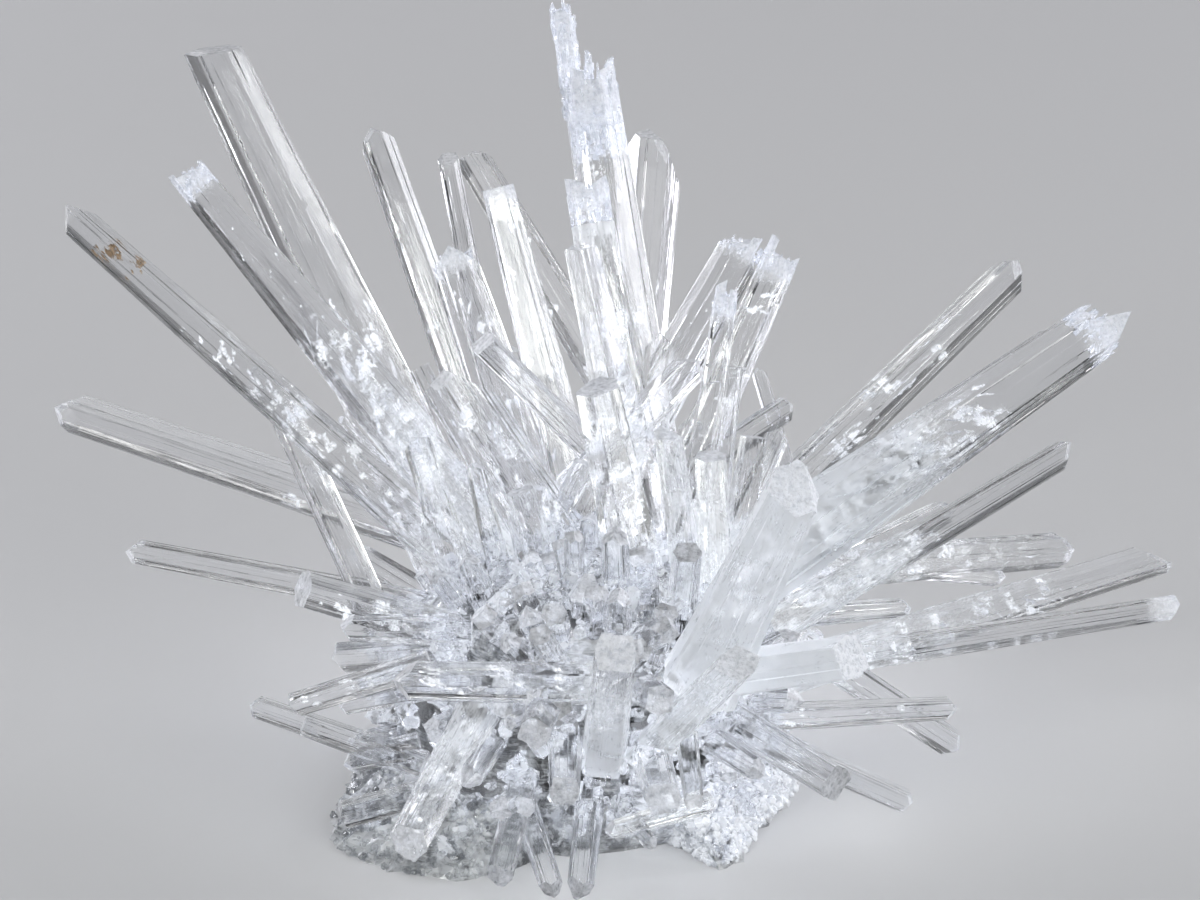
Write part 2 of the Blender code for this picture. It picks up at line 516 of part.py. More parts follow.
def fuse(heart, grown, cutter):
    """Joins the crystals, stubs and chips to the heart, and cuts off what is under the floor."""
    for obj in list(grown.objects) + [cutter]:
        obj.display_type = "WIRE"
        obj.hide_render = True
    join = heart.modifiers.new("join", "BOOLEAN")
    join.operation = "UNION"
    join.operand_type = "COLLECTION"
    join.collection = grown
    join.solver = "EXACT"
    cut = heart.modifiers.new("cut_flat", "BOOLEAN")
    cut.operation = "DIFFERENCE"
    cut.object = cutter
    cut.solver = "EXACT"


def centre_on_base(heart):
    """Moves all objects so that the middle of the underside of the box is the origin."""
    graph = bpy.context.evaluated_depsgraph_get()
    mesh = heart.evaluated_get(graph).to_mesh()
    xs = [vert.co.x for vert in mesh.vertices]
    ys = [vert.co.y for vert in mesh.vertices]
    shift = Vector((-(min(xs) + max(xs)) / 2, -(min(ys) + max(ys)) / 2, 0))
    for obj in bpy.data.objects:
        obj.location += shift


def main():
    clear_scene()
    parts = new_collection(NAME, hidden=False)
    grown = new_collection("grown_on_the_heart", hidden=True)
    cutters = new_collection("cutters", hidden=True)
    rng = random.Random(SEED)
    heart = make_heart(parts, rng)
    heart.data.materials.append(quartz_material())
    make_crystals(grown)
    make_shards(grown)
    make_stubs(grown, rng)
    make_foot_slab(grown)
    make_chips(grown, rng)
    fuse(heart, grown, make_floor_cutter(cutters))
    centre_on_base(heart)


main()
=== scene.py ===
"""The finished quartz cluster: clear crystals that grew from one milky heart on a grainy foot.

The crystals are laid out on a front view that looks down at the cluster by VIEW_TILT, so
each end of a crystal has three sizes in millimetres: across (to the right), up (in the
front view, from the heart) and away (from the viewer).
"""

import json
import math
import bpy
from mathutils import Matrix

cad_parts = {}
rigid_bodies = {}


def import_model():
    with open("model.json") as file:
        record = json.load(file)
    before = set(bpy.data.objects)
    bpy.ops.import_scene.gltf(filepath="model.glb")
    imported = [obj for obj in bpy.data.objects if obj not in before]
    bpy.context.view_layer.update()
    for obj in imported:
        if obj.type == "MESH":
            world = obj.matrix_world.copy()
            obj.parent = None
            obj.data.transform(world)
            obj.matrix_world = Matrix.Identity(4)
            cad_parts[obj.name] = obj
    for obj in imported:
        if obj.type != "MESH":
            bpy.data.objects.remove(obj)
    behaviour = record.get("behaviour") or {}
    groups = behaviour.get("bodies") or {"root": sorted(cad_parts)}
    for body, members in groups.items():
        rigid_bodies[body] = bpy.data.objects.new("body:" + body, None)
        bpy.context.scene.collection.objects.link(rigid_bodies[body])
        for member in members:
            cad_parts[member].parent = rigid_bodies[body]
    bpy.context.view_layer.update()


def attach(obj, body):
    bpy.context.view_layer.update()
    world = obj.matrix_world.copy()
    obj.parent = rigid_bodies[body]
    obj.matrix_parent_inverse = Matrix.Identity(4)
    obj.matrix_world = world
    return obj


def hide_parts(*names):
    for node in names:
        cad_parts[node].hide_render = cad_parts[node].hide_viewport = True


bl_info = {
    "name": "Quartz Cluster",
    "version": (1, 0, 0),
    "blender": (4, 5, 0),
    "location": "3D View > Sidebar > Quartz",
    "description": "Grows a cluster of clear quartz crystals on a grainy foot",
    "category": "Add Mesh",
}

import bmesh
import bpy
import numpy as np
from bpy.props import FloatProperty, FloatVectorProperty, IntProperty, PointerProperty
from mathutils import Matrix, Vector

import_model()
NODE = "quartz_cluster"
MM = 0.001

# The front view that the crystals are laid out on, in millimetres and degrees.
VIEW_TILT = 25.0
VIEW_DISTANCE = 433.0
VIEW_CENTRE_UP = 27.3
HEART_PLACE = np.array((-0.92, -15.04, 19.0))

# The heart, a lumpy dome: its centre, radii and number of broken faces.
HEART_CENTRE = np.array((-3.92, -13.04, 11.0))
HEART_RADII = np.array((26.0, 22.0, 23.0))
HEART_FACETS = 90

# The grainy foot: its outline on the floor, from the heart's place.
FOOT_OUTLINE = np.array((
    (-35, -9), (-34, -16), (-28, -20.5), (-18, -23), (-13, -22), (-7, -17), (6, -12),
    (11, -16), (15, -20.5), (18, -18.5), (20, -12.5), (24, -6), (27.5, 3), (21, 17),
    (8, 24), (-8, 26), (-22, 21), (-32, 8),
))
FOOT_HEIGHT = 7.0
FOOT_SHRINK = 0.8
FOOT_RINGS = np.array((-0.3, 0.0, 0.2, 0.4, 0.6, 0.8, 1.0))
FOOT_AROUND = 140

# How far a crystal runs past its tip before its end is cut, and the box that cuts the
# cluster off flat, in millimetres.
BEYOND_TIP = 14.0
FLOOR_BOX = 300.0

# Where the stubs start, as a share of the way from the heart's centre to its skin.
STUB_ROOT = 0.72

# Points along the foot's outline that grains and small crystals choose from.
OUTLINE_SPOTS = 4000

# Ways a crystal ends: each face is (turn, lean, beyond). The turn is round the crystal,
# 0 to the right of its growth in the front view, 90 to the viewer and 180 to the left;
# the lean is from square, and beyond moves the face out along the crystal.
FLAT = ((90, 18, 0),)
SQUARE = ((100, 6, 0),)
CHISEL = ((10, 42, 0), (190, 36, 0))
ROOF = ((0, 58, 0), (180, 17, 0), (90, 50, 1.6))
POINT = ((20, 48, 0), (140, 48, 0), (260, 48, 0))
STUMP = ((60, 14, 0), (210, 30, 0.6))

# name: tip (across, up, away), foot (across, up, away), width at tip and foot, depth and
# spread of the six sides (0.87 and 0.5 for a regular prism), twist, ending.
CRYSTALS = {
    # long blades on the left
    "rear_left_tall": ((-50.3, 79.2, 30), (-17.4, 11, 8), 8.0, 12.2, 0.8, 0.5, 0, ((60, 36, 0),)),
    "broken_blade": ((-53.6, 63.2, 2), (-9.9, 11, 0), 5.0, 10.2, 0.62, 0.55, 12, ((20, 16, 0),)),
    "west_long": (
        (-69.3, 58.3, 0), (-13, 8.2, 0), 4.5, 7.1, 0.8, 0.55, -10,
        ((160, 42, 0), (0, 66, 2.0)),
    ),
    "low_left_rear": (
        (-69.8, 32.6, 18), (-15.6, 14.4, 8), 5.9, 7.0, 0.8, 0.5, 15,
        ((0, 49, 0.4), (180, 33, 0.4)),
    ),
    "low_left_clear": ((-61.1, 14.3, 12), (-15.6, 5.7, 3), 3.6, 4.4, 0.9, 0.6, 20, CHISEL),
    "crosser": ((-43.9, 38.2, 9), (-26, -0.7, 0), 4.2, 4.6, 0.7, 0.5, 0, ((180, 15, 0), (0, 60, 0.5))),
    "sliver_behind_blade": ((-33.5, 31.6, 10), (-16.9, 12.6, 3), 2.2, 3.0, 0.9, 0.6, 0, CHISEL),
    # rear crystals, left of the middle
    "rear_slim": (
        (-29.4, 68.7, 25), (-8.5, 10, 6), 4.9, 5.8, 0.8, 0.55, 8,
        ((10, 40, 0), (180, 40, 0)),
    ),
    "rear_glint": ((-19.7, 65.1, 28), (-9.4, 10, 7), 3.0, 4.2, 0.9, 0.6, 10, ((90, 50, 0),)),
    "rear_leaning": (
        (-16.8, 65.6, 32), (10.9, 20, 7), 4.8, 6.8, 0.75, 0.55, -12,
        ((10, 36, 0), (90, 30, 0.4)),
    ),
    "rear_square": ((-13.3, 61.4, 16), (-0.3, 10, 3), 4.5, 7.5, 0.75, 0.6, 14, FLAT),
    "capped_left": (
        (-19.3, 52.9, 14), (-4.8, 10, 3), 6.4, 8.4, 0.75, 0.5, 0,
        ((180, 42, 0.4), (0, 46, 0.4)),
    ),
    # the tall middle
    "top_column": ((-1.3, 75.1, 20), (8.2, 10, 3), 7.5, 10.6, 0.75, 0.5, 10, STUMP),
    "top_splinter": (
        (-5.0, 84.4, 20), (-2.3, 64, 20), 3.3, 2.4, 0.8, 0.6, 0,
        ((0, 35, 0), (180, 30, 0.2)),
    ),
    "top_needle_left": ((-1.6, 78.9, 20), (-0.9, 70, 20), 0.9, 1.8, 0.9, 0.6, 0, CHISEL),
    "top_needle_right": ((1.2, 77.7, 20), (1.5, 69, 20), 1.3, 2.2, 0.9, 0.6, 0, CHISEL),
    "rear_rounded": (
        (7.2, 67.9, 36), (2.4, 10, 6), 8.4, 6.6, 0.8, 0.5, 0,
        ((0, 60, -0.6), (180, 46, 2.1), (90, 50, 1.6)),
    ),
    "middle_tall": (
        (-1.6, 54.2, 2), (8.5, 10, -2), 6.6, 10.2, 0.8, 0.5, -14,
        ((90, 22, 0), (200, 45, 2.2)),
    ),
    "middle_stub": ((-1.7, 61.4, 2), (1.8, 38, 1), 5.8, 5.4, 0.8, 0.6, 6, STUMP),
    "middle_front": (
        (-0.4, 35.5, -6), (6, 5.2, -4), 6.2, 8.8, 0.85, 0.6, -24,
        ((90, 20, 0), (200, 40, 2.0)),
    ),
    # front, left of the middle
    "block_left": ((-15.2, 41.2, -4), (5.2, 21.2, -2), 3.6, 3.9, 0.85, 0.75, 8, ((90, 25, 0),)),
    "wide_left": ((-20.2, 37.7, -2), (-3.9, 12.7, -3), 8.2, 9.3, 0.7, 0.6, -8, ROOF),
    "wide_left_companion": ((-23.6, 38.0, 1), (-15.6, 21.8, 0), 3.1, 4.0, 0.9, 0.7, 5, SQUARE),
    "strip_left": (
        (-24.0, 28.9, -4), (-16.9, 6.5, -3), 4.1, 5.2, 0.85, 0.6, 20,
        ((180, 45, 0.5), (0, 15, 0)),
    ),
    "slim_left": ((-16.4, 25.6, -5), (-12.4, 9.1, -4), 2.9, 3.5, 0.9, 0.6, 20, CHISEL),
    "framed_left": ((-10.4, 22.0, -8), (-5.7, 7.8, -5), 3.6, 4.4, 0.8, 0.7, 0, SQUARE),
    "small_crosser": ((-2.2, 25.7, -5), (-6.5, 16.0, -3), 2.5, 2.8, 0.9, 0.7, 0, SQUARE),
    # right of the middle
    "leaning_block": (
        (12.4, 38.7, -4), (-3.9, 22.2, 0), 4.6, 5.0, 0.8, 0.6, -10,
        ((180, 44, 0.3), (0, 30, 0.3)),
    ),
    "dark_faced": (
        (18.9, 54.4, 4), (-1.6, 18.2, 0), 6.1, 7.6, 0.8, 0.6, 0,
        ((150, 32, 0), (0, 60, 2.0)),
    ),
    "jagged_right": (
        (23.5, 52.3, 2), (5.5, 11, 0), 5.0, 6.2, 0.8, 0.55, 14,
        ((0, 18, 0), (120, 30, 0.8)),
    ),
    "capped_right": ((16.4, 47.5, -1), (11.7, 15, -3), 3.1, 4.2, 0.9, 0.65, 10, STUMP),
    "pale_right": ((17.3, 38.1, -3), (14.2, 13, -3), 2.6, 3.6, 0.9, 0.7, 0, SQUARE),
    "upper_right_short": (
        (24.8, 33.1, 3), (5.2, 20.2, 0), 3.5, 4.2, 0.8, 0.6, 10,
        ((180, 20, 0), (0, 33, 0)),
    ),
    "hidden_cap": ((7.9, 42.4, 0), (5.9, 18.2, -1), 3.9, 4.6, 0.9, 0.6, 0, ((0, 45, 0), (180, 45, 0))),
    "thin_rear_right": ((20.5, 37.8, 8), (25.5, 20.8, 3), 2.0, 2.4, 0.9, 0.6, 0, CHISEL),
    "notch_block": ((23.4, 29.9, -2), (17.6, 17.0, -2), 3.2, 4.2, 0.9, 0.7, 12, CHISEL),
    "notch_block_front": ((20.0, 29.0, -4), (17.6, 14.0, -4), 3.6, 4.4, 0.9, 0.7, -10, SQUARE),
    "inner_right": (
        (8.8, 29.6, -6), (11.7, 7.8, -5), 3.8, 5.0, 0.85, 0.6, 18,
        ((90, 30, 0), (0, 35, 0.4)),
    ),
    "inner_far_right": ((14.4, 26.5, -7), (15, 7.8, -6), 4.2, 5.0, 0.85, 0.6, -16, FLAT),
    # long blades on the right
    "right_bright": (
        (53.9, 50.6, 18), (13, 11.0, 4), 5.5, 7.2, 0.8, 0.55, 16,
        ((180, 52, 1.7), (0, 36, 0.2)),
    ),
    "right_broad": (
        (65.5, 43.6, 0), (18.2, 10.9, 0), 7.8, 11.6, 0.55, 0.6, -8,
        ((180, 68, 2.5), (0, 58, 4.3)),
    ),
    "right_clear": (
        (60.6, 27.1, 0), (18.9, 2, 0), 3.8, 5.0, 0.85, 0.6, 10,
        ((180, 56, 2.2), (0, 42, 0.2)),
    ),
    "right_rear_low": (
        (60.8, 14.4, 30), (16.5, 11.0, 2), 5.0, 6.0, 0.8, 0.6, 0,
        ((170, 45, 0), (10, 40, 0)),
    ),
    "right_rear_hidden": ((45.5, 19.6, 12), (14, 4.5, 3), 3.6, 4.4, 0.85, 0.6, 8, CHISEL),
    "right_rear_small": ((52.0, 10.7, 24), (16, 14.4, 3), 2.6, 3.4, 0.9, 0.6, 0, CHISEL),
    "right_short": ((40.0, 6.8, 6), (22.1, 5.6, 1), 2.9, 3.4, 0.9, 0.6, 12, ((180, 40, 0), (0, 35, 0))),
    "right_streaked": (
        (72.8, 13.4, 8), (23.4, -2, 0), 4.7, 6.2, 0.75, 0.55, -10,
        ((180, 50, -0.5), (0, 12, 0.9)),
    ),
    "right_longest": (
        (75.1, 7.0, -2), (24, -0.9, 0), 3.2, 4.4, 0.85, 0.6, 14,
        ((180, 20, 0.3), (0, 40, 0), (90, 40, 0.6)),
    ),
    "right_low": ((46.3, -6.2, -10), (18.2, -7.6, -5), 3.2, 4.2, 0.85, 0.6, -16, CHISEL),
    "right_low_behind": (
        (46.4, -11.3, 0), (26, 2.2, -2), 3.9, 4.4, 0.8, 0.6, 8,
        ((0, 40, 0.2), (180, 30, 0)),
    ),
    "right_low_clear": (
        (40.3, -18.6, -5), (18.2, -8.7, -6), 3.2, 3.8, 0.9, 0.6, 0,
        ((10, 25, 0), (190, 30, 0)),
    ),
    "right_square": ((30.6, -16.0, -20), (15.6, -6.6, -10), 4.5, 4.8, 0.9, 0.8, 6, ((80, 12, 0),)),
    # crystals that lean to the viewer
    "near_tall": (
        (25.6, 22.4, -35), (13, -3.3, -15), 7.0, 11.0, 0.75, 0.6, 18,
        ((90, 30, 0), (0, 40, 1.5)),
    ),
    "near_block": ((32.6, 0.4, -30), (13, -2.2, -12), 5.6, 6.2, 0.85, 0.75, -10, SQUARE),
    "near_slanted": ((17.9, -0.4, -27), (5.2, -13, -15), 4.4, 5.0, 0.85, 0.75, 0, ((120, 35, 0),)),
    "near_middle": ((2.0, 1.0, -38), (0.4, -13, -14), 5.0, 5.8, 0.85, 0.75, 0, ((90, 20, 0),)),
    # crystals low on the left
    "hex_left": ((-38.6, 9.2, -10), (-15.6, 2.6, -8), 5.1, 6.0, 0.9, 0.55, 18, ((90, 22, 0),)),
    "small_hex_left": ((-33.6, 4.2, -13), (-16.9, 3.9, -10), 3.6, 4.2, 0.9, 0.6, 0, CHISEL),
    "dark_hex_left": (
        (-34.8, 0.2, -10), (-20.8, 1.3, -8), 4.2, 4.4, 0.9, 0.6, 14,
        ((180, 40, 0), (0, 20, 0)),
    ),
    "low_slim_left": (
        (-40.3, -6.0, -15), (-22.1, -0.3, -12), 3.3, 3.8, 0.9, 0.6, 24,
        ((180, 35, 0), (0, 12, 0)),
    ),
    "low_thin_left": ((-33.8, -6.1, -10), (-22, -3.8, -8), 2.3, 2.8, 0.9, 0.6, 0, CHISEL),
    "low_clear_left": (
        (-45.2, -5.8, -8), (-22.8, -13.6, -11), 3.2, 4.0, 0.9, 0.6, 12,
        ((0, 30, 0), (180, 30, 0)),
    ),
    "low_inner_left": ((-38.6, -8.5, -12), (-26, -13, -11), 2.6, 3.2, 0.9, 0.6, 0, SQUARE),
    "low_skirt_left": ((-33.2, -13.3, -8), (-23.4, -11, -8), 3.1, 3.6, 0.9, 0.6, 0, CHISEL),
    "front_lying": (
        (-26.5, -2.7, -26), (0, -3, -19), 5.1, 5.6, 0.85, 0.6, 10,
        ((0, 45, 0), (180, 36, 0)),
    ),
    "front_down_left": (
        (-25.0, -23.8, -30), (-15.3, -5.6, -15), 5.1, 6.0, 0.85, 0.6, -16,
        ((90, 25, 0), (0, 25, 0.6)),
    ),
    "low_square_left": (
        (-34.0, -20.3, -14), (-20, -16.5, -11), 3.8, 4.0, 0.9, 0.7, 10,
        ((10, 20, 0), (190, 25, 0)),
    ),
    # crystals in the front of the heart
    "core_grey": (
        (-2.2, 9.4, -14), (-1.3, -2, -6), 4.2, 4.8, 0.85, 0.6, 10,
        ((90, 30, 0), (190, 50, 1.0)),
    ),
    "core_upper_right": ((5.2, 13.5, -10), (6.5, 2, -5), 3.8, 4.6, 0.85, 0.6, -14, FLAT),
    "core_long_left": ((-13.0, 7.6, -13), (-5.0, -1, -6), 2.6, 3.4, 0.85, 0.6, 20, CHISEL),
    "core_upper_left": ((-7.0, 13.2, -9), (-5.0, 3, -4), 3.2, 4.0, 0.85, 0.6, 0, SQUARE),
    "core_far_left": ((-17.4, 13.5, -9), (-13.0, 2, -5), 3.2, 4.4, 0.85, 0.6, 12, CHISEL),
    "core_under_tall": ((11.4, 14.0, -13), (9.8, 1, -6), 3.8, 4.6, 0.85, 0.6, -10, FLAT),
    "core_short_left": ((-10.4, 10.0, -16), (-6.5, -1, -7), 3.0, 4.0, 0.85, 0.6, 15, POINT),
    "core_short_middle": ((-6.0, 6.0, -18), (-4.0, -3, -8), 3.4, 4.2, 0.85, 0.6, 0, FLAT),
    "core_short_right": ((2.4, 8.6, -17), (2.5, -3, -7), 3.2, 4.0, 0.85, 0.6, 12, CHISEL),
    "core_beside_tall": ((8.6, 6.2, -18), (5.5, -4, -8), 3.2, 4.2, 0.85, 0.6, 0, SQUARE),
    "core_above_front": ((-12.0, 2.6, -20), (-6.0, -4, -9), 3.0, 3.8, 0.85, 0.6, 10, CHISEL),
    "core_lower_left": ((-8.5, -9.5, -29), (-6.5, -4, -12), 4.0, 5.0, 0.85, 0.7, 14, SQUARE),
    "core_lower_middle": ((-4.6, -17.0, -27), (-4.5, -8, -12), 3.8, 4.8, 0.85, 0.7, 0, FLAT),
    "core_lower_right": ((8.2, -18.0, -25), (5.4, -8, -11), 4.6, 5.6, 0.8, 0.7, 10, FLAT),
    "core_right_low": ((20.6, -14.4, -20), (12.5, -9, -9), 3.0, 3.8, 0.85, 0.6, 0, CHISEL),
    "core_right": ((7.8, -5.2, -25), (4.5, -3, -10), 3.8, 4.8, 0.85, 0.7, -12, SQUARE),
    "core_left_low": ((-17.0, -15.5, -25), (-12.5, -8, -11), 3.2, 4.2, 0.85, 0.6, 8, CHISEL),
    "core_far_low_left": ((-22.5, -9.5, -20), (-14.0, -6, -10), 3.2, 4.0, 0.85, 0.6, 0, POINT),
    # small ones that hang over the front of the foot
    "hanging_left": (
        (-13.1, -28.2, -28), (-9.8, -15, -13), 3.4, 4.0, 0.85, 0.7, 10,
        ((0, 30, 0), (180, 20, 0)),
    ),
    "hanging_middle": ((-6.1, -30.0, -24), (-10.5, -17, -11), 3.0, 3.6, 0.85, 0.6, 14, CHISEL),
    "hanging_right": ((-2.6, -30.1, -25), (-1, -16, -10), 3.4, 4.0, 0.85, 0.6, -12, CHISEL),
    "hanging_thin": ((6.8, -24.0, -20), (2, -18.5, -12), 2.0, 2.6, 0.8, 0.6, 0, CHISEL),
    "hanging_far_right": ((12.2, -18.4, -28), (11.2, -9.8, -18), 2.4, 3.0, 0.85, 0.7, 0, SQUARE),
    "lying_front": ((1.0, -22.3, -20), (14.3, -18.4, -16), 2.5, 3.0, 0.9, 0.6, 0, CHISEL),
    # the far side
    "far_up": ((8, 44, 40), (3, 8, 5), 5.2, 7.5, 0.8, 0.55, 10, POINT),
    "far_up_left": ((-12, 40, 44), (-5, 8, 6), 4.6, 6.8, 0.85, 0.55, -10, CHISEL),
    "far_right": ((22, 24, 50), (8, 6, 8), 5.4, 7.6, 0.75, 0.6, 12, ((0, 40, 0), (180, 30, 0))),
    "far_left": ((-24, 22, 48), (-10, 6, 8), 5.0, 7.0, 0.8, 0.55, 0, POINT),
    "far_middle": ((2, 22, 56), (0, 5, 8), 4.8, 7.2, 0.8, 0.6, 16, CHISEL),
    "far_low_right": ((14, 12, 46), (8, 2, 10), 4.0, 5.6, 0.85, 0.6, 0, SQUARE),
    "far_low_left": ((-13, 10, 44), (-8, 2, 10), 3.8, 5.4, 0.85, 0.6, 10, CHISEL),
    "far_low_middle": ((2, 7, 42), (1, 0, 10), 3.4, 5.0, 0.9, 0.6, 0, POINT),
    "far_side_right": ((30, 12, 34), (16, 3, 8), 3.6, 5.2, 0.85, 0.6, 0, CHISEL),
    "far_side_left": ((-32, 14, 28), (-16, 4, 8), 3.6, 5.0, 0.85, 0.6, 0, POINT),
    "far_high_left": ((-16, 27, 42), (-8, 9, 8), 3.8, 5.6, 0.85, 0.6, 14, ((40, 35, 0), (220, 30, 0))),
    "far_high_middle": ((-4, 32, 46), (-2, 9, 8), 3.6, 5.2, 0.85, 0.6, -8, POINT),
    "far_high_right": ((12, 30, 44), (6, 9, 8), 4.0, 5.8, 0.8, 0.6, 0, SQUARE),
    "far_slope_left": ((-20, 15, 40), (-12, 5, 8), 3.6, 5.0, 0.85, 0.6, 10, SQUARE),
    "far_slope_right": ((26, 17, 40), (13, 5, 9), 3.4, 4.8, 0.85, 0.6, -14, POINT),
    "far_upper_left": ((-23, 22, 28), (-12, 6, 6), 3.4, 4.8, 0.85, 0.6, 0, CHISEL),
    "far_upper_right": ((21, 25, 26), (11, 7, 6), 3.6, 5.0, 0.85, 0.6, 8, POINT),
    "far_floor_left": ((-20, 6, 34), (-11, 1, 11), 3.6, 5.0, 0.85, 0.6, -12, CHISEL),
    "far_floor_middle": ((-6, 4, 40), (-4, 0, 12), 3.4, 4.8, 0.85, 0.6, 6, POINT),
    "far_floor_right": ((19, 5, 36), (11, 0, 12), 3.6, 5.2, 0.8, 0.6, 0, SQUARE),
    "far_corner_left": ((-29, 5, 20), (-18, 2, 7), 3.2, 4.4, 0.85, 0.6, 0, POINT),
    "far_corner_right": ((28, 3, 22), (18, 1, 7), 3.2, 4.4, 0.85, 0.6, 16, CHISEL),
}

# Crystals whose ends broke off rough: the shards left standing on each, as from and to
# in shares of the half-width across, height in millimetres, and lean of the shard's top.
BROKEN = {
    "broken_blade": ((-1.0, -0.6, 1.2, 35), (0.5, 1.0, -0.5, -30)),
    "top_column": ((-1.0, -0.2, 1.5, 30), (0.3, 1.0, 1.1, -35)),
    "middle_stub": ((-1.0, -0.1, 1.0, 25), (0.25, 1.0, 0.7, -30)),
    "dark_faced": ((0.2, 0.6, 0.8, -25),),
    "jagged_right": ((-1.0, -0.45, 2.2, 30), (0.5, 1.0, 0.5, -45)),
    "capped_right": ((-1.0, -0.1, 1.3, -35), (0.3, 1.0, 0.5, 20)),
    "right_broad": ((-0.95, -0.5, -1.2, -25),),
}
SHARD_ROOT = 12.0
SHARD_INSET = 0.97

# How milky a crystal is inside, as (share of its length, milk) pairs from the foot.
MILK = {
    "right_broad": ((0, 0.75), (0.35, 0.72), (0.55, 0.5), (0.68, 0.25), (0.85, 0.05), (1, 0.3)),
    "right_bright": ((0, 0.7), (0.3, 0.45), (0.75, 0.3), (1, 0.2)),
    "right_clear": ((0, 0.6), (0.45, 0.55), (0.58, 0.5), (0.62, 0), (1, 0)),
    "right_streaked": ((0, 0.7), (0.35, 0.5), (0.7, 0.42), (0.8, 0.05), (1, 0)),
    "right_longest": ((0, 0.6), (0.3, 0.3), (0.45, 0), (1, 0.1)),
    "right_rear_low": ((0, 0.7), (0.5, 0.5), (1, 0.4)),
    "near_tall": ((0, 0.7), (0.5, 0.66), (1, 0.64)),
    "near_block": ((0, 0.8), (1, 0.72)),
    "near_middle": ((0, 0.7), (0.5, 0.62), (0.75, 0.42), (1, 0.4)),
    "near_slanted": ((0, 0.7), (1, 0.45)),
    "broken_blade": ((0, 0.6), (0.35, 0.5), (0.55, 0.28), (0.8, 0.12), (1, 0.45)),
    "rear_left_tall": ((0, 0.5), (0.3, 0.35), (0.5, 0.08), (1, 0.05)),
    "west_long": ((0, 0.6), (0.3, 0.35), (0.45, 0.1), (0.7, 0.3), (0.8, 0), (1, 0.1)),
    "top_column": ((0, 0.6), (0.5, 0.4), (0.7, 0.25), (0.84, 0.2), (0.9, 0.8), (1, 1)),
    "middle_stub": ((0, 0.5), (0.7, 0.4), (0.85, 0.9), (1, 1)),
    "front_down_left": ((0, 0.65), (1, 0.4)),
    "front_lying": ((0, 0.6), (0.6, 0.3), (1, 0.15)),
    "middle_front": ((0, 0.6), (0.4, 0.45), (0.85, 0.4), (1, 0.2)),
    "inner_right": ((0, 0.6), (1, 0.5)),
    "inner_far_right": ((0, 0.6), (1, 0.5)),
    "hex_left": ((0, 0.6), (0.6, 0.4), (1, 0.12)),
}
MILK_ROOT = ((0, 0.4), (0.2, 0.25), (0.4, 0.05), (1, 0.0))
STUB_MILK = ((0, 0.5), (0.4, 0.2), (0.6, 0.0), (1, 0.0))

# How frosted a crystal's end faces are; the others have END_FROST.
END_FROSTS = {
    "near_block": 0.9, "near_middle": 0.8, "near_slanted": 0.7, "near_tall": 0.75,
    "broken_blade": 0.95, "top_column": 1.0, "middle_stub": 1.0, "right_broad": 0.5,
    "right_clear": 0.6, "right_longest": 0.75, "block_left": 0.7, "wide_left": 0.7,
    "middle_tall": 0.6, "middle_front": 0.7, "framed_left": 0.7, "capped_left": 0.75,
    "capped_right": 0.95, "dark_faced": 0.7, "jagged_right": 0.85, "right_low": 0.7,
    "right_low_clear": 0.75, "right_square": 0.75, "hex_left": 0.6, "top_splinter": 1.0,
    "top_needle_left": 1.0, "top_needle_right": 1.0, "low_square_left": 0.6,
}
END_FROST = 0.62

# Milk and frost on the heart, the foot and its cut face, and the least of each that shows.
HEART_FINISH = (0.5, 0.1)
FOOT_FINISH = (0.6, 0.2)
CUT_FINISH = (0.5, 0.5)
LEAST_MILK = 0.1
LEAST_FROST = 0.4

# Crystals with a frosted white coat near the tip, in millimetres down from it.
COATED = {
    "top_column": 10.0, "top_splinter": 16.0, "top_needle_left": 9.0, "top_needle_right": 9.0,
    "middle_stub": 5.5, "broken_blade": 3.5, "right_broad": 3.0, "capped_right": 3.2,
    "jagged_right": 2.6, "dark_faced": 2.0, "capped_left": 2.4, "rear_square": 1.6,
    "right_longest": 2.0,
}

# Sugary slivers that stand on the coated tips: how many, how far down they start and how
# long they are at most, in millimetres.
SLIVERS = {
    "top_column": (420, 10.5, 3.2), "top_splinter": (170, 15.0, 2.6),
    "top_needle_left": (60, 8.0, 1.6), "top_needle_right": (70, 8.0, 1.6),
    "middle_stub": (90, 4.5, 1.6), "broken_blade": (80, 2.6, 1.5), "right_broad": (80, 3.6, 2.0),
    "capped_right": (60, 2.6, 1.2), "jagged_right": (60, 1.8, 1.5), "dark_faced": (46, 1.4, 1.0),
    "capped_left": (30, 1.4, 0.8),
}

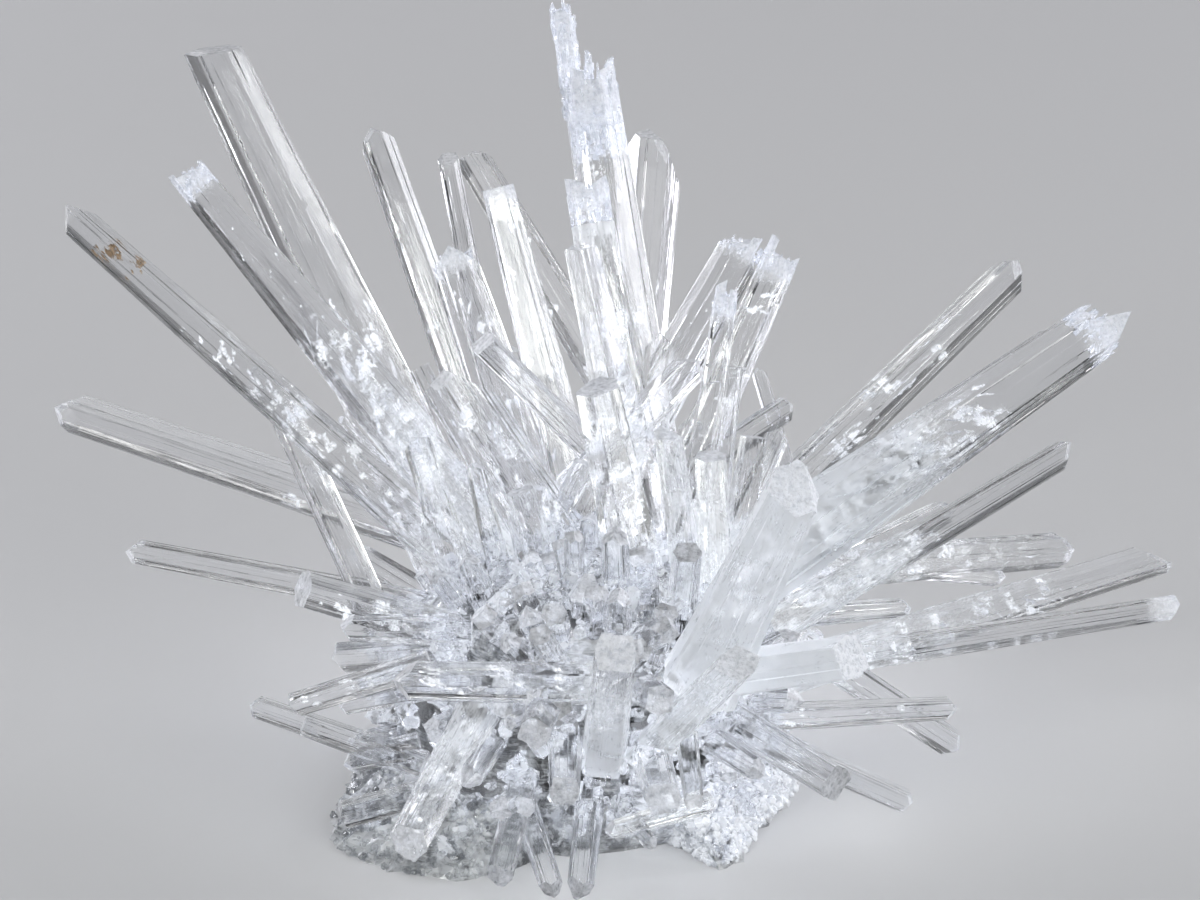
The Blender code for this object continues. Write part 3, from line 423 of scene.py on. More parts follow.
# Veils inside the crystals: name, from and to in shares of the length, how many, their size
# as a share of the crystal's width, and their slant to it in degrees.
VEILS = (
    ("right_broad", 0.12, 0.5, 44, 0.5, 20), ("right_broad", 0.45, 0.72, 26, 0.3, 28),
    ("right_bright", 0.1, 0.85, 30, 0.32, 10), ("right_clear", 0.1, 0.58, 30, 0.5, 15),
    ("right_clear", 0.6, 0.97, 40, 0.04, 0), ("right_streaked", 0.1, 0.78, 44, 0.34, 35),
    ("right_longest", 0.1, 0.4, 10, 0.4, 10), ("right_rear_low", 0.2, 0.9, 16, 0.4, 8),
    ("broken_blade", 0.1, 0.62, 46, 0.4, 22), ("broken_blade", 0.6, 0.95, 20, 0.07, 10),
    ("rear_left_tall", 0.1, 0.5, 22, 0.32, 14), ("west_long", 0.1, 0.55, 30, 0.36, 16),
    ("west_long", 0.55, 0.72, 16, 0.2, 14), ("low_left_rear", 0.1, 0.5, 10, 0.3, 8),
    ("top_column", 0.2, 0.95, 26, 0.36, 8), ("middle_tall", 0.3, 0.8, 20, 0.34, 16),
    ("middle_front", 0.2, 0.9, 14, 0.3, 10), ("wide_left", 0.2, 0.8, 18, 0.3, 18),
    ("near_tall", 0.3, 0.95, 18, 0.36, 20), ("dark_faced", 0.1, 0.45, 12, 0.3, 12),
    ("dark_faced", 0.5, 0.95, 14, 0.04, 0), ("jagged_right", 0.2, 0.9, 12, 0.3, 60),
    ("rear_leaning", 0.2, 0.9, 14, 0.3, 12), ("rear_square", 0.2, 0.9, 14, 0.3, 12),
    ("capped_left", 0.2, 0.9, 14, 0.3, 12), ("rear_rounded", 0.2, 0.8, 8, 0.3, 10),
    ("rear_slim", 0.1, 0.6, 8, 0.3, 8), ("front_down_left", 0.2, 0.9, 16, 0.36, 14),
    ("front_lying", 0.2, 0.9, 14, 0.34, 14), ("near_middle", 0.2, 0.9, 10, 0.36, 30),
    ("near_block", 0.2, 0.9, 10, 0.36, 20), ("hex_left", 0.2, 0.9, 14, 0.4, 20),
    ("low_slim_left", 0.2, 0.9, 8, 0.3, 10), ("right_low", 0.2, 0.8, 8, 0.3, 10),
)

# A rusty stain just under the tip of one long crystal, in the same way.
STAINS = (("west_long", 0.83, 0.93, 14, 0.3, 12),)


def view_axes():
    """The front view's directions: across, up and away."""
    tilt = math.radians(VIEW_TILT)
    across = np.array((1.0, 0.0, 0.0))
    up = np.array((0.0, math.sin(tilt), math.cos(tilt)))
    away = np.array((0.0, math.cos(tilt), -math.sin(tilt)))
    return across, up, away


def from_front_view(place):
    """The point in millimetres that the front view shows at (across, up), that far away.

    With spread = (distance + away) / distance, it is the heart's place + right * across *
    spread + top * (centre + (up - centre) * spread) + back * away.
    """
    across, up, away = view_axes()
    spread = (VIEW_DISTANCE + place[2]) / VIEW_DISTANCE
    height = VIEW_CENTRE_UP + (place[1] - VIEW_CENTRE_UP) * spread
    return HEART_PLACE + across * place[0] * spread + up * height + away * place[2]


def unit(vectors):
    return vectors / np.linalg.norm(vectors, axis=-1, keepdims=True)


def crystal_frame(foot, tip):
    """Unit vectors right of the growth, to the viewer, and along the growth."""
    along = unit(tip - foot)
    right = unit(np.cross(along, -view_axes()[2]))
    near = np.cross(right, along)
    return right, near, along


def smooth(value, low, high):
    """0 below low and 1 above high, with 3 t^2 - 2 t^3 between."""
    share = np.clip((value - low) / (high - low), 0, 1)
    return share * share * (3 - 2 * share)


def tube_faces(rings, around):
    """The quads of a closed tube whose points run ring by ring."""
    first = np.arange(rings - 1)[:, None] * around
    here = np.arange(around)
    after = np.roll(here, -1)
    quads = (first + here, first + after, first + around + after, first + around + here)
    return np.stack(quads, axis=-1).reshape(-1, 4)


def new_mesh(name, points, faces):
    """A mesh of points in millimetres."""
    mesh = bpy.data.meshes.new(name)
    mesh.from_pydata(points * MM, [], faces)
    return mesh


def add_object(name, mesh, collection=None):
    obj = bpy.data.objects.new(name, mesh)
    (collection or bpy.context.scene.collection).objects.link(obj)
    return obj


def read_all(items, name, width=1, kind=float):
    """One property of all of a mesh's vertices, corners or faces, as an array."""
    values = np.empty(len(items) * width, kind)
    items.foreach_get(name, values)
    return values.reshape(-1, width) if width > 1 else values


def capped_tube(name, points, rings):
    """A mesh of rings of points in millimetres, with a face over each end."""
    around = len(points) // rings
    ends = [list(range(around)), list(range(len(points) - around, len(points)))]
    return new_mesh(name, points, tube_faces(rings, around).tolist() + ends)


def finish_piece(obj, *materials):
    """Gives a piece its materials and its place among the cluster's pieces."""
    obj.data.materials.clear()
    for material in materials:
        obj.data.materials.append(material)
    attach(obj, "root")


# Shapes: the clear crystals.


def stepped_hexagon(depth, spread, sizes, rng):
    """The outline of a crystal for a half-width of one, six points on each of its six sides.

    A side runs from corner to corner, and its points are at the shares bevel, a - e, a + e,
    b - e, b + e and 1 - bevel of it. Past a and past b it stands in by two random ledges.
    Returns the points, their inward directions and their ledges, each (6, 6, ...).
    """
    corners = np.array((
        (1, 0), (spread, depth), (-spread, depth), (-1, 0), (-spread, -depth), (spread, -depth),
    ))
    side = np.roll(corners, -1, axis=0) - corners
    ramp = sizes.ledge_ramp
    first = rng.uniform(0.18, 0.45, 6)
    second = rng.uniform(0.55, 0.82, 6)
    bevel = np.full(6, sizes.bevel)
    shares = (bevel, first - ramp, first + ramp, second - ramp, second + ramp, 1 - bevel)
    share = np.stack(shares, axis=1)
    ledges = np.concatenate((np.zeros((6, 1)), rng.uniform(0, sizes.ledge, (6, 2))), axis=1)
    steps = np.repeat(ledges, 2, axis=1)
    points = corners[:, None] + side[:, None] * share[..., None]
    inward = unit(np.stack((-side[:, 1], side[:, 0]), axis=1))
    return points, np.repeat(inward[:, None], 6, axis=1), steps


def crystal_points(foot, tip, widths, shape, sizes, rng):
    """The rings of a crystal's sides, in millimetres, and how many rings there are.

    A point is foot + along * s + (right * x + near * y) * w(s), with s in millimetres. The
    outline (x, y) is the stepped hexagon, turned by the twist, and each ledge rises and ends
    at places of its own. The half-width w(s) tapers evenly and swells by three small sines.
    """
    depth, spread, twist = shape
    right, near, along = crystal_frame(foot, tip)
    length = np.linalg.norm(tip - foot)
    reach = length + BEYOND_TIP
    rings = max(3, int(reach / sizes.ring_every)) + 1
    s = np.linspace(0, reach, rings)
    taper = widths[1] + (widths[0] - widths[1]) * s / length
    swell = sum(
        np.sin(s * rng.uniform(0.15, 0.9) + rng.uniform(0, 6)) * sizes.swell / 3 for _ in range(3)
    )
    half = np.maximum(taper, widths[0] * 0.4) / 2 * (1 + swell)
    outline, inward, steps = stepped_hexagon(depth, spread, sizes, rng)
    start = rng.uniform(-0.4, 0.5, (6, 2)) * length
    stop = rng.uniform(0.6, 1.5, (6, 2)) * length
    rise = smooth(s[:, None, None], start, start + 1) * (1 - smooth(s[:, None, None], stop, stop + 1))
    rise = rise[:, :, (0, 0, 0, 0, 1, 1)]
    flat = outline + inward * steps[..., None] * rise[..., None]
    angle = math.radians(twist)
    x = flat[..., 0] * math.cos(angle) - flat[..., 1] * math.sin(angle)
    y = flat[..., 0] * math.sin(angle) + flat[..., 1] * math.cos(angle)
    x = x.reshape(rings, -1, 1) * half[:, None, None]
    y = y.reshape(rings, -1, 1) * half[:, None, None]
    return (foot + along * s[:, None, None] + right * x + near * y).reshape(-1, 3), rings


def cut_end(bm, point, normal):
    """Cuts off what lies beyond the plane, and closes the cut."""
    geometry = bm.verts[:] + bm.edges[:] + bm.faces[:]
    place = Vector(point * MM)
    cut = bmesh.ops.bisect_plane(
        bm, geom=geometry, plane_co=place, plane_no=Vector(normal), clear_outer=True,
    )
    edges = [item for item in cut["geom_cut"] if isinstance(item, bmesh.types.BMEdge)]
    if edges:
        bmesh.ops.contextual_create(bm, geom=edges)


def crystal_solid(foot, tip, widths, shape, cuts, sizes, rng):
    """A crystal as a closed bmesh, with its end cut by planes, each a point and a normal."""
    points, rings = crystal_points(foot, tip, widths, shape, sizes, rng)
    mesh = capped_tube("crystal", points, rings)
    bm = bmesh.new()
    bm.from_mesh(mesh)
    bpy.data.meshes.remove(mesh)
    for point, normal in cuts:
        cut_end(bm, point, normal)
    bmesh.ops.recalc_face_normals(bm, faces=bm.faces)
    return bm


def end_cuts(foot, tip, ending):
    """The planes that end a crystal: through tip + along * beyond, leaning from square."""
    right, near, along = crystal_frame(foot, tip)
    cuts = []
    for turn, lean, beyond in ending:
        side = right * math.cos(math.radians(turn)) + near * math.sin(math.radians(turn))
        normal = along * math.cos(math.radians(lean)) + side * math.sin(math.radians(lean))
        cuts.append((tip + along * beyond, normal))
    return cuts


def corner_values(mesh):
    """For each corner of a mesh: its point in millimetres, face normal and face middle."""
    index = read_all(mesh.loops, "vertex_index", kind=int)
    sides = read_all(mesh.polygons, "loop_total", kind=int)
    points = read_all(mesh.vertices, "co", 3)[index] / MM
    normals = np.repeat(read_all(mesh.polygons, "normal", 3), sides, axis=0)
    middles = np.repeat(read_all(mesh.polygons, "center", 3), sides, axis=0) / MM
    return points, normals, middles


def write_map(mesh, name, first, second):
    layer = mesh.uv_layers.get(name) or mesh.uv_layers.new(name=name)
    layer.data.foreach_set("uv", np.stack((first, second), axis=1).ravel())


def write_finish(mesh, foot, tip, width, milk, end_frost, coat):
    """The maps that a crystal's finish follows.

    Map "along" holds millimetres along the crystal and round it. Map "finish" holds milk and
    frost from 0 to 1: milk by the share of the length, frost on faces that don't lie along
    the crystal and, on a coated crystal, near its tip.
    """
    right, near, along = crystal_frame(foot, tip)
    points, normals, middles = corner_values(mesh)
    length = np.linalg.norm(tip - foot)
    far = (points - foot) @ along
    angle = np.arctan2((points - foot) @ near, (points - foot) @ right)
    middle = np.arctan2((middles - foot) @ near, (middles - foot) @ right)
    angle += 2 * math.pi * np.round((middle - angle) / (2 * math.pi))
    write_map(mesh, "along", far, angle * width / 2)
    shares, levels = zip(*milk)
    frost = np.where(np.abs(normals @ along) > 0.2, end_frost, 0.0)
    if coat:
        frost = np.maximum(frost, smooth(far, length - coat, length - coat * 0.2))
    write_map(mesh, "finish", np.interp(far / length, shares, levels), frost)


def add_crystal(name, bm, foot, tip, width, collection, milk=MILK_ROOT, frost=END_FROST, coat=0.0):
    mesh = bpy.data.meshes.new(name)
    bm.to_mesh(mesh)
    bm.free()
    write_finish(mesh, foot, tip, width, milk, frost, coat)
    return add_object(name, mesh, collection)


def grow_crystals(collection, sizes, rng):
    for name, (tip, foot, tip_width, foot_width, depth, spread, twist, ending) in CRYSTALS.items():
        start = from_front_view(foot)
        end = from_front_view(tip)
        widths = (tip_width, foot_width)
        shape = (depth, spread, twist)
        bm = crystal_solid(start, end, widths, shape, end_cuts(start, end, ending), sizes, rng)
        add_crystal(
            name, bm, start, end, foot_width, collection,
            MILK.get(name, MILK_ROOT), END_FROSTS.get(name, END_FROST), COATED.get(name, 0.0),
        )


def grow_shards(collection, sizes, rng):
    """Slices of a broken crystal that stand a little higher than the rest of its end."""
    for name, shards in BROKEN.items():
        tip, foot, tip_width, foot_width, depth, spread, twist, _ = CRYSTALS[name]
        start = from_front_view(foot)
        end = from_front_view(tip)
        right, _, along = crystal_frame(start, end)
        half = tip_width / 2
        for index, (left_side, right_side, height, lean) in enumerate(shards):
            top = end + right * (left_side + right_side) / 2 * half + along * height
            slope = right * math.sin(math.radians(lean)) + along * math.cos(math.radians(lean))
            cuts = (
                (top, slope),
                (end - along * SHARD_ROOT, -along),
                (end + right * left_side * half, -right),
                (end + right * right_side * half, right),
            )
            widths = (tip_width * SHARD_INSET, foot_width * SHARD_INSET)
            bm = crystal_solid(start, end, widths, (depth, spread, twist), cuts, sizes, rng)
            add_crystal(
                f"{name}_shard_{index}", bm, start, end, foot_width, collection,
                MILK.get(name, MILK_ROOT), 1.0, COATED.get(name, 0.0),
            )


def heart_directions(count, lowest, rng):
    """Random directions out of the heart that rise at least by lowest."""
    ways = unit(rng.normal(size=(count * 6, 3)))
    return ways[ways[:, 2] > lowest][:count]


def on_heart(ways, share):
    """The points at this share of the way from the heart's centre to its skin."""
    reach = 1 / np.sqrt(np.sum((ways / HEART_RADII) ** 2, axis=-1, keepdims=True))
    return HEART_CENTRE + ways * reach * share


def grow_stubs(collection, sizes, rng):
    """Short crystals that fill the heart between the long ones."""
    ways = heart_directions(sizes.stubs, -0.15, rng)
    for index, way in enumerate(ways):
        foot = on_heart(way, STUB_ROOT)
        lean = rng.uniform((-0.5, -0.5, -0.2), (0.5, 0.5, 0.6))
        reach = (1 - STUB_ROOT) * HEART_RADII.min() + rng.uniform(3.5, 10)
        tip = foot + unit(way + lean) * reach
        width = rng.uniform(2.0, 4.4)
        ending = (CHISEL, SQUARE, POINT)[rng.integers(3)]
        shape = (0.85, 0.6, rng.uniform(0, 60))
        cuts = end_cuts(foot, tip, ending)
        bm = crystal_solid(foot, tip, (width * 0.85, width), shape, cuts, sizes, rng)
        add_crystal(f"stub_{index}", bm, foot, tip, width, collection, STUB_MILK)


def make_heart(rng):
    """The heart's skin: a ball whose radius is the least of h / (d . n) over random planes.

    d is the direction, and each plane has a normal n and a height h near one, so the skin is
    made of flat broken faces. It is then stretched to the heart's radii.
    """
    bm = bmesh.new()
    bmesh.ops.create_icosphere(bm, subdivisions=5, radius=1.0)
    mesh = bpy.data.meshes.new("heart")
    bm.to_mesh(mesh)
    bm.free()
    ways = unit(read_all(mesh.vertices, "co", 3))
    normals = unit(rng.normal(size=(HEART_FACETS, 3)))
    heights = rng.uniform(0.9, 1.02, HEART_FACETS)
    reach = np.min(heights / np.maximum(ways @ normals.T, 0.05), axis=1)
    skin = (HEART_CENTRE + ways * reach[:, None] * HEART_RADII) * MM
    mesh.vertices.foreach_set("co", skin.ravel())
    mesh.update()
    return mesh


def outline_points(count):
    """Points spaced evenly along the foot's outline."""
    closed = np.vstack((FOOT_OUTLINE, FOOT_OUTLINE[:1]))
    steps = np.linalg.norm(np.diff(closed, axis=0), axis=1)
    knots = np.concatenate(((0.0,), np.cumsum(steps)))
    far = np.arange(count) / count * knots[-1]
    return np.stack((np.interp(far, knots, closed[:, 0]), np.interp(far, knots, closed[:, 1])), axis=1)


def make_foot(rng):
    """The low slab under the heart.

    A point is outline(a) * (1 - (1 - shrink) * h) * rough, at height h, where rough is one
    plus a random few per cent at each point of the grid.
    """
    heights = FOOT_RINGS[:, None, None]
    grid = (len(FOOT_RINGS), FOOT_AROUND, 1)
    rough = 1 + rng.uniform(-0.02, 0.02, grid)
    flat = outline_points(FOOT_AROUND) * (1 - (1 - FOOT_SHRINK) * heights) * rough
    rise = np.broadcast_to(heights * FOOT_HEIGHT, grid) + rng.uniform(-0.3, 0.3, grid)
    points = np.concatenate((flat, rise), axis=2).reshape(-1, 3)
    points[:, :2] += HEART_PLACE[:2]
    mesh = capped_tube("foot", points, len(FOOT_RINGS))
    bm = bmesh.new()
    bm.from_mesh(mesh)
    bmesh.ops.recalc_face_normals(bm, faces=bm.faces)
    bm.to_mesh(mesh)
    bm.free()
    return mesh


def write_plain_finish(mesh, milk, frost):
    """The same maps where no crystal gives a direction: millimetres across and up."""
    points, _, _ = corner_values(mesh)
    write_map(mesh, "along", points[:, 0], points[:, 2])
    write_map(mesh, "finish", np.full(len(points), milk), np.full(len(points), frost))


def under_floor(collection):
    """A box below the floor, which cuts the cluster off flat."""
    bm = bmesh.new()
    bmesh.ops.create_cube(bm, size=FLOOR_BOX * MM)
    bmesh.ops.translate(bm, verts=bm.verts, vec=(0, 0, -FLOOR_BOX / 2 * MM))
    mesh = bpy.data.meshes.new("under_floor")
    bm.to_mesh(mesh)
    bm.free()
    write_plain_finish(mesh, *CUT_FINISH)
    return add_object("under_floor", mesh, collection)


def grown_together(heart, collection, floor_box):
    """One mesh of the heart and all that grew on it, cut off flat on the floor."""
    join = heart.modifiers.new("join", "BOOLEAN")
    join.operation = "UNION"
    join.operand_type = "COLLECTION"
    join.collection = collection
    join.solver = "MANIFOLD"
    cut = heart.modifiers.new("cut_flat", "BOOLEAN")
    cut.operation = "DIFFERENCE"
    cut.object = floor_box
    cut.solver = "MANIFOLD"
    graph = bpy.context.evaluated_depsgraph_get()
    return bpy.data.meshes.new_from_object(heart.evaluated_get(graph))


def sort_faces(mesh):
    """Face by face, the first material is clear, the second milky and the third frosted."""
    finish = read_all(mesh.uv_layers["finish"].data, "uv", 2)
    starts = read_all(mesh.polygons, "loop_start", kind=int)
    milk, frost = np.maximum.reduceat(finish, starts).T
    index = np.where(frost > LEAST_FROST, 2, np.where(milk > LEAST_MILK, 1, 0))
    mesh.polygons.foreach_set("material_index", index.astype(np.int32))


def remove_all(objects):
    for obj in list(objects):
        mesh = obj.data
        bpy.data.objects.remove(obj, do_unlink=True)
        bpy.data.meshes.remove(mesh)


# Shapes: what is strewn in hundreds.

# Sizes in millimetres, from the least to the most, and how uneven a grain is.
DRUSE_WIDTH = (0.35, 1.35)
GRAIN_SIZE = (0.2, 0.66)
GRAIN_ROUGHNESS = 0.28
SLIVER_WIDTH = (0.1, 0.36)


def random_axes(count, rng):
    """Three unit vectors at right angles for each of count pieces, as (count, 3, 3)."""
    first = unit(rng.normal(size=(count, 3)))
    second = unit(np.cross(first, rng.normal(size=(count, 3))))
    return np.stack((first, second, np.cross(first, second)), axis=1)


def axes_along(ways, rng):
    """Three unit vectors at right angles for each way, the third of them along it."""
    first = unit(np.cross(ways, rng.normal(size=ways.shape)))
    return np.stack((first, np.cross(ways, first), ways), axis=1)


def strewn(name, shape, faces, centres, axes, scales):
    """One mesh of many copies of a small shape.

    Copy i has the points centre_i + sum over k of shape_ik * scale_ik * axis_ik.
    """
    count, corners, _ = shape.shape
    points = centres[:, None] + np.einsum("nck,nkj->ncj", shape * scales[:, None], axes)
    shift = (np.arange(count) * corners)[:, None, None]
    return new_mesh(name, points.reshape(-1, 3), (faces + shift).reshape(-1, faces.shape[1]))


def grain_shapes(count, rough, rng):
    """Angular grains: the 12 corners of an icosahedron, each moved in or out at random."""
    golden = (1 + math.sqrt(5)) / 2
    corners = np.array((
        (-1, golden, 0), (1, golden, 0), (-1, -golden, 0), (1, -golden, 0),
        (0, -1, golden), (0, 1, golden), (0, -1, -golden), (0, 1, -golden),
        (golden, 0, -1), (golden, 0, 1), (-golden, 0, -1), (-golden, 0, 1),
    ))
    faces = np.array((
        (0, 11, 5), (0, 5, 1), (0, 1, 7), (0, 7, 10), (0, 10, 11),
        (1, 5, 9), (5, 11, 4), (11, 10, 2), (10, 7, 6), (7, 1, 8),
        (3, 9, 4), (3, 4, 2), (3, 2, 6), (3, 6, 8), (3, 8, 9),
        (4, 9, 5), (2, 4, 11), (6, 2, 10), (8, 6, 7), (9, 8, 1),
    ))
    return unit(corners) * rng.uniform(1 - rough, 1 + rough, (count, 12, 1)), faces


def small_crystal_shapes(count, rng):
    """Small six-sided crystals from 0 to 1 along their third axis, each with its own point.

    Rings of six points stand at 0 and at the shoulder, and the tip is above, off the middle.
    """
    angles = np.arange(6) * math.pi / 3
    ring = np.stack((np.cos(angles), np.sin(angles), np.zeros(6)), axis=1)
    low = np.broadcast_to(ring * 1.1, (count, 6, 3))
    shoulder = rng.uniform(0.6, 0.9, (count, 1))
    high = np.broadcast_to(ring, (count, 6, 3)).copy()
    high[..., 2] = shoulder + rng.uniform(-0.08, 0.08, (count, 6))
    tip = np.concatenate((rng.uniform(-0.45, 0.45, (count, 2)), np.ones((count, 1))), axis=1)
    base = np.zeros((count, 1, 3))
    here = np.arange(6)
    after = np.roll(here, -1)
    sides = np.concatenate((
        np.stack((here, after, after + 6), axis=1),
        np.stack((here, after + 6, here + 6), axis=1),
        np.stack((here + 6, after + 6, np.full(6, 12)), axis=1),
        np.stack((after, here, np.full(6, 13)), axis=1),
    ))
    return np.concatenate((low, high, tip[:, None], base), axis=1), sides


def above_floor(mesh):
    """Press what reaches under the floor flat onto it."""
    points = read_all(mesh.vertices, "co", 3)
    points[:, 2] = np.maximum(points[:, 2], 0)
    mesh.vertices.foreach_set("co", points.ravel())
    return mesh


def make_druse(count, rng):
    """Small crystals that crowd the heart between the large ones, and the rim of the foot."""
    ways = heart_directions(count, -0.25, rng)
    centres = on_heart(ways, rng.uniform(0.88, 1.01, (count, 1)))
    around = outline_points(OUTLINE_SPOTS)[rng.integers(0, OUTLINE_SPOTS, count // 3)]
    height = rng.uniform(0.15, 1.0, (count // 3, 1))
    outward = np.concatenate((around * 0.03, height * 0.8), axis=1)
    rim = around * (1 - (1 - FOOT_SHRINK) * height - 0.05) + HEART_PLACE[:2]
    centres = np.concatenate((centres, np.concatenate((rim, height * FOOT_HEIGHT), axis=1)))
    ways = np.concatenate((ways, unit(outward)))
    ways = unit(ways + rng.normal(scale=0.5, size=ways.shape))
    shape, faces = small_crystal_shapes(len(ways), rng)
    least, most = DRUSE_WIDTH
    width = least + (most - least) * rng.uniform(0, 1, len(ways)) ** 2
    length = width * rng.uniform(2.0, 5.0, len(ways))
    scales = np.stack((width, width * rng.uniform(0.7, 1, len(ways)), length), axis=1)
    return above_floor(strewn("druse", shape, faces, centres, axes_along(ways, rng), scales))


def make_crust(count, rng):
    """Grains that cover the foot's sloping rim, most of them low down."""
    spot = rng.integers(0, OUTLINE_SPOTS, count)
    height = rng.uniform(0, 1, count) ** 1.3
    inset = 1 - (1 - FOOT_SHRINK) * height - rng.uniform(0.0, 0.06, count)
    size = rng.uniform(*GRAIN_SIZE, count)
    flat = outline_points(OUTLINE_SPOTS)[spot] * inset[:, None]
    rise = np.maximum(height * (FOOT_HEIGHT + 1.5), size * 0.55)
    centres = np.concatenate((flat + HEART_PLACE[:2], rise[:, None]), axis=1)
    shape, faces = grain_shapes(count, GRAIN_ROUGHNESS, rng)
    scales = size[:, None] * rng.uniform(0.7, 1.3, (count, 3))
    return above_floor(strewn("crust", shape, faces, centres, random_axes(count, rng), scales))


def make_slivers(share, rng):
    """Sugary slivers on the broken tips, each lying roughly along its crystal."""
    centres = []
    ways = []
    longest = []
    for name, (most, deep, length) in SLIVERS.items():
        tip, foot, tip_width, _, depth, _, _, _ = CRYSTALS[name]
        start = from_front_view(foot)
        end = from_front_view(tip)
        right, near, along = crystal_frame(start, end)
        count = int(most * share)
        down = deep * rng.uniform(0, 1, (count, 1)) ** 1.3
        angle = rng.uniform(0, 2 * math.pi, (count, 1))
        out = tip_width / 2 * np.where(down < 0.8, np.sqrt(rng.uniform(0, 0.8, (count, 1))), 0.86)
        place = right * np.cos(angle) * out + near * np.sin(angle) * out * depth
        centres.append(end - along * (down + 0.7) + place)
        ways.append(unit(along + rng.normal(scale=0.13, size=(count, 3))))
        longest.append(np.full(count, length))
    centres = np.concatenate(centres)
    count = len(centres)
    shape, faces = small_crystal_shapes(count, rng)
    width = rng.uniform(*SLIVER_WIDTH, count)
    length = np.concatenate(longest) * rng.uniform(0.25, 1.0, count)
    scales = np.stack((width, width * rng.uniform(0.6, 1, count), length), axis=1)
    return strewn("slivers", shape, faces, centres, axes_along(np.concatenate(ways), rng), scales)


def triangles(quads):
    return np.concatenate((quads[:, (0, 1, 2)], quads[:, (0, 2, 3)]))


VEIL_RINGS = np.array((0.1, 0.6, 1.0, 0.6, 0.1))
VEIL_SIDES = np.array((-1, -1, 0, 1, 1))
VEIL_AROUND = 16


def veil_shapes(count, rng):
    """Thin ragged flakes with a half-length of one, as rings from below round to above.

    A point is (r cos t, r sin t, wave(r cos t) + side * thick * (1 - q^2)), where q is the
    ring's share of the way out, r = q * ragged(t) and ragged(t) is one plus five random sines.
    """
    t = np.arange(VEIL_AROUND) / VEIL_AROUND * 2 * math.pi
    waves = np.arange(2, 7)[:, None]
    turns = rng.uniform(0, 2 * math.pi, (count, 5, 1))
    ragged = 1 + np.sum(np.sin(waves * t + turns) * rng.uniform(0, 0.13, (count, 5, 1)), axis=1)
    r = VEIL_RINGS[:, None] * ragged[:, None]
    x = r * np.cos(t)
    y = r * np.sin(t)
    wave = 0.12 * np.sin(x * rng.uniform(2, 5, (count, 1, 1)) + turns[:, :1])
    thick = 0.06 * VEIL_SIDES * (1 - VEIL_RINGS**2)
    points = np.stack((x, y, wave + thick[:, None]), axis=-1).reshape(count, -1, 3)
    fan = np.arange(1, VEIL_AROUND - 1)
    below = np.stack((fan * 0, fan + 1, fan), axis=1)
    above = np.stack((fan * 0, fan, fan + 1), axis=1) + (len(VEIL_RINGS) - 1) * VEIL_AROUND
    sides = triangles(tube_faces(len(VEIL_RINGS), VEIL_AROUND))
    return points, np.concatenate((sides, below, above))


def make_veils(name, entries, share, rng):
    """Flakes inside the crystals, each slanting a little from the length of its crystal."""
    centres = []
    axes = []
    scales = []
    for host, low, high, most, size, slant in entries:
        tip, foot, tip_width, foot_width, depth, _, _, _ = CRYSTALS[host]
        start = from_front_view(foot)
        end = from_front_view(tip)
        right, near, along = crystal_frame(start, end)
        count = max(1, int(most * share))
        s = rng.uniform(low, high, (count, 1))
        half = (foot_width + (tip_width - foot_width) * s) / 2
        flat = rng.uniform(-0.5, 0.5, (count, 2)) * half
        centres.append(start + (end - start) * s + right * flat[:, :1] + near * flat[:, 1:] * depth)
        lean = right * math.tan(math.radians(slant))
        lie = unit(along + lean + rng.normal(scale=0.12, size=(count, 3)))
        face = unit(np.cross(lie, rng.normal(size=(count, 3))))
        axes.append(np.stack((lie, np.cross(face, lie), face), axis=1))
        wide = half[:, 0] * size * rng.uniform(0.35, 1.0, count)
        scales.append(np.stack((wide * rng.uniform(1.2, 2.6, count), wide, wide), axis=1))
    centres = np.concatenate(centres)
    shape, faces = veil_shapes(len(centres), rng)
    mesh = strewn(name, shape, faces, centres, np.concatenate(axes), np.concatenate(scales))
    index = read_all(mesh.loops, "vertex_index", kind=int)
    ring = index % shape.shape[1] // VEIL_AROUND
    write_map(mesh, "veil", VEIL_RINGS[ring], index // shape.shape[1])
    return mesh


# Finishes.


class Level:
    """A number that varies over a surface. Sums on it add Math nodes to its finish."""

    def __init__(self, finish, socket):
        self.finish = finish
        self.socket = socket

    def maths(self, operation, first, second, clamp=False):
        settings = {"operation": operation, "use_clamp": clamp}
        node = self.finish.add("ShaderNodeMath", settings, {0: first, 1: second})
        return Level(self.finish, node.outputs[0])

    def __add__(self, other):
        return self.maths("ADD", self, other)

    def __sub__(self, other):
        return self.maths("SUBTRACT", self, other)

    def __rsub__(self, other):
        return self.maths("SUBTRACT", other, self)

    def __mul__(self, other):
        return self.maths("MULTIPLY", self, other)

    __radd__ = __add__
    __rmul__ = __mul__

    def clamped(self):
        return self.maths("ADD", self, 0.0, clamp=True)

    def between(self, low, high):
        """0 below low and 1 above high, with a smooth rise between."""
        settings = {"interpolation_type": "SMOOTHSTEP"}
        sockets = {"Value": self, "From Min": low, "From Max": high}
        return Level(self.finish, self.finish.add("ShaderNodeMapRange", settings, sockets).outputs[0])


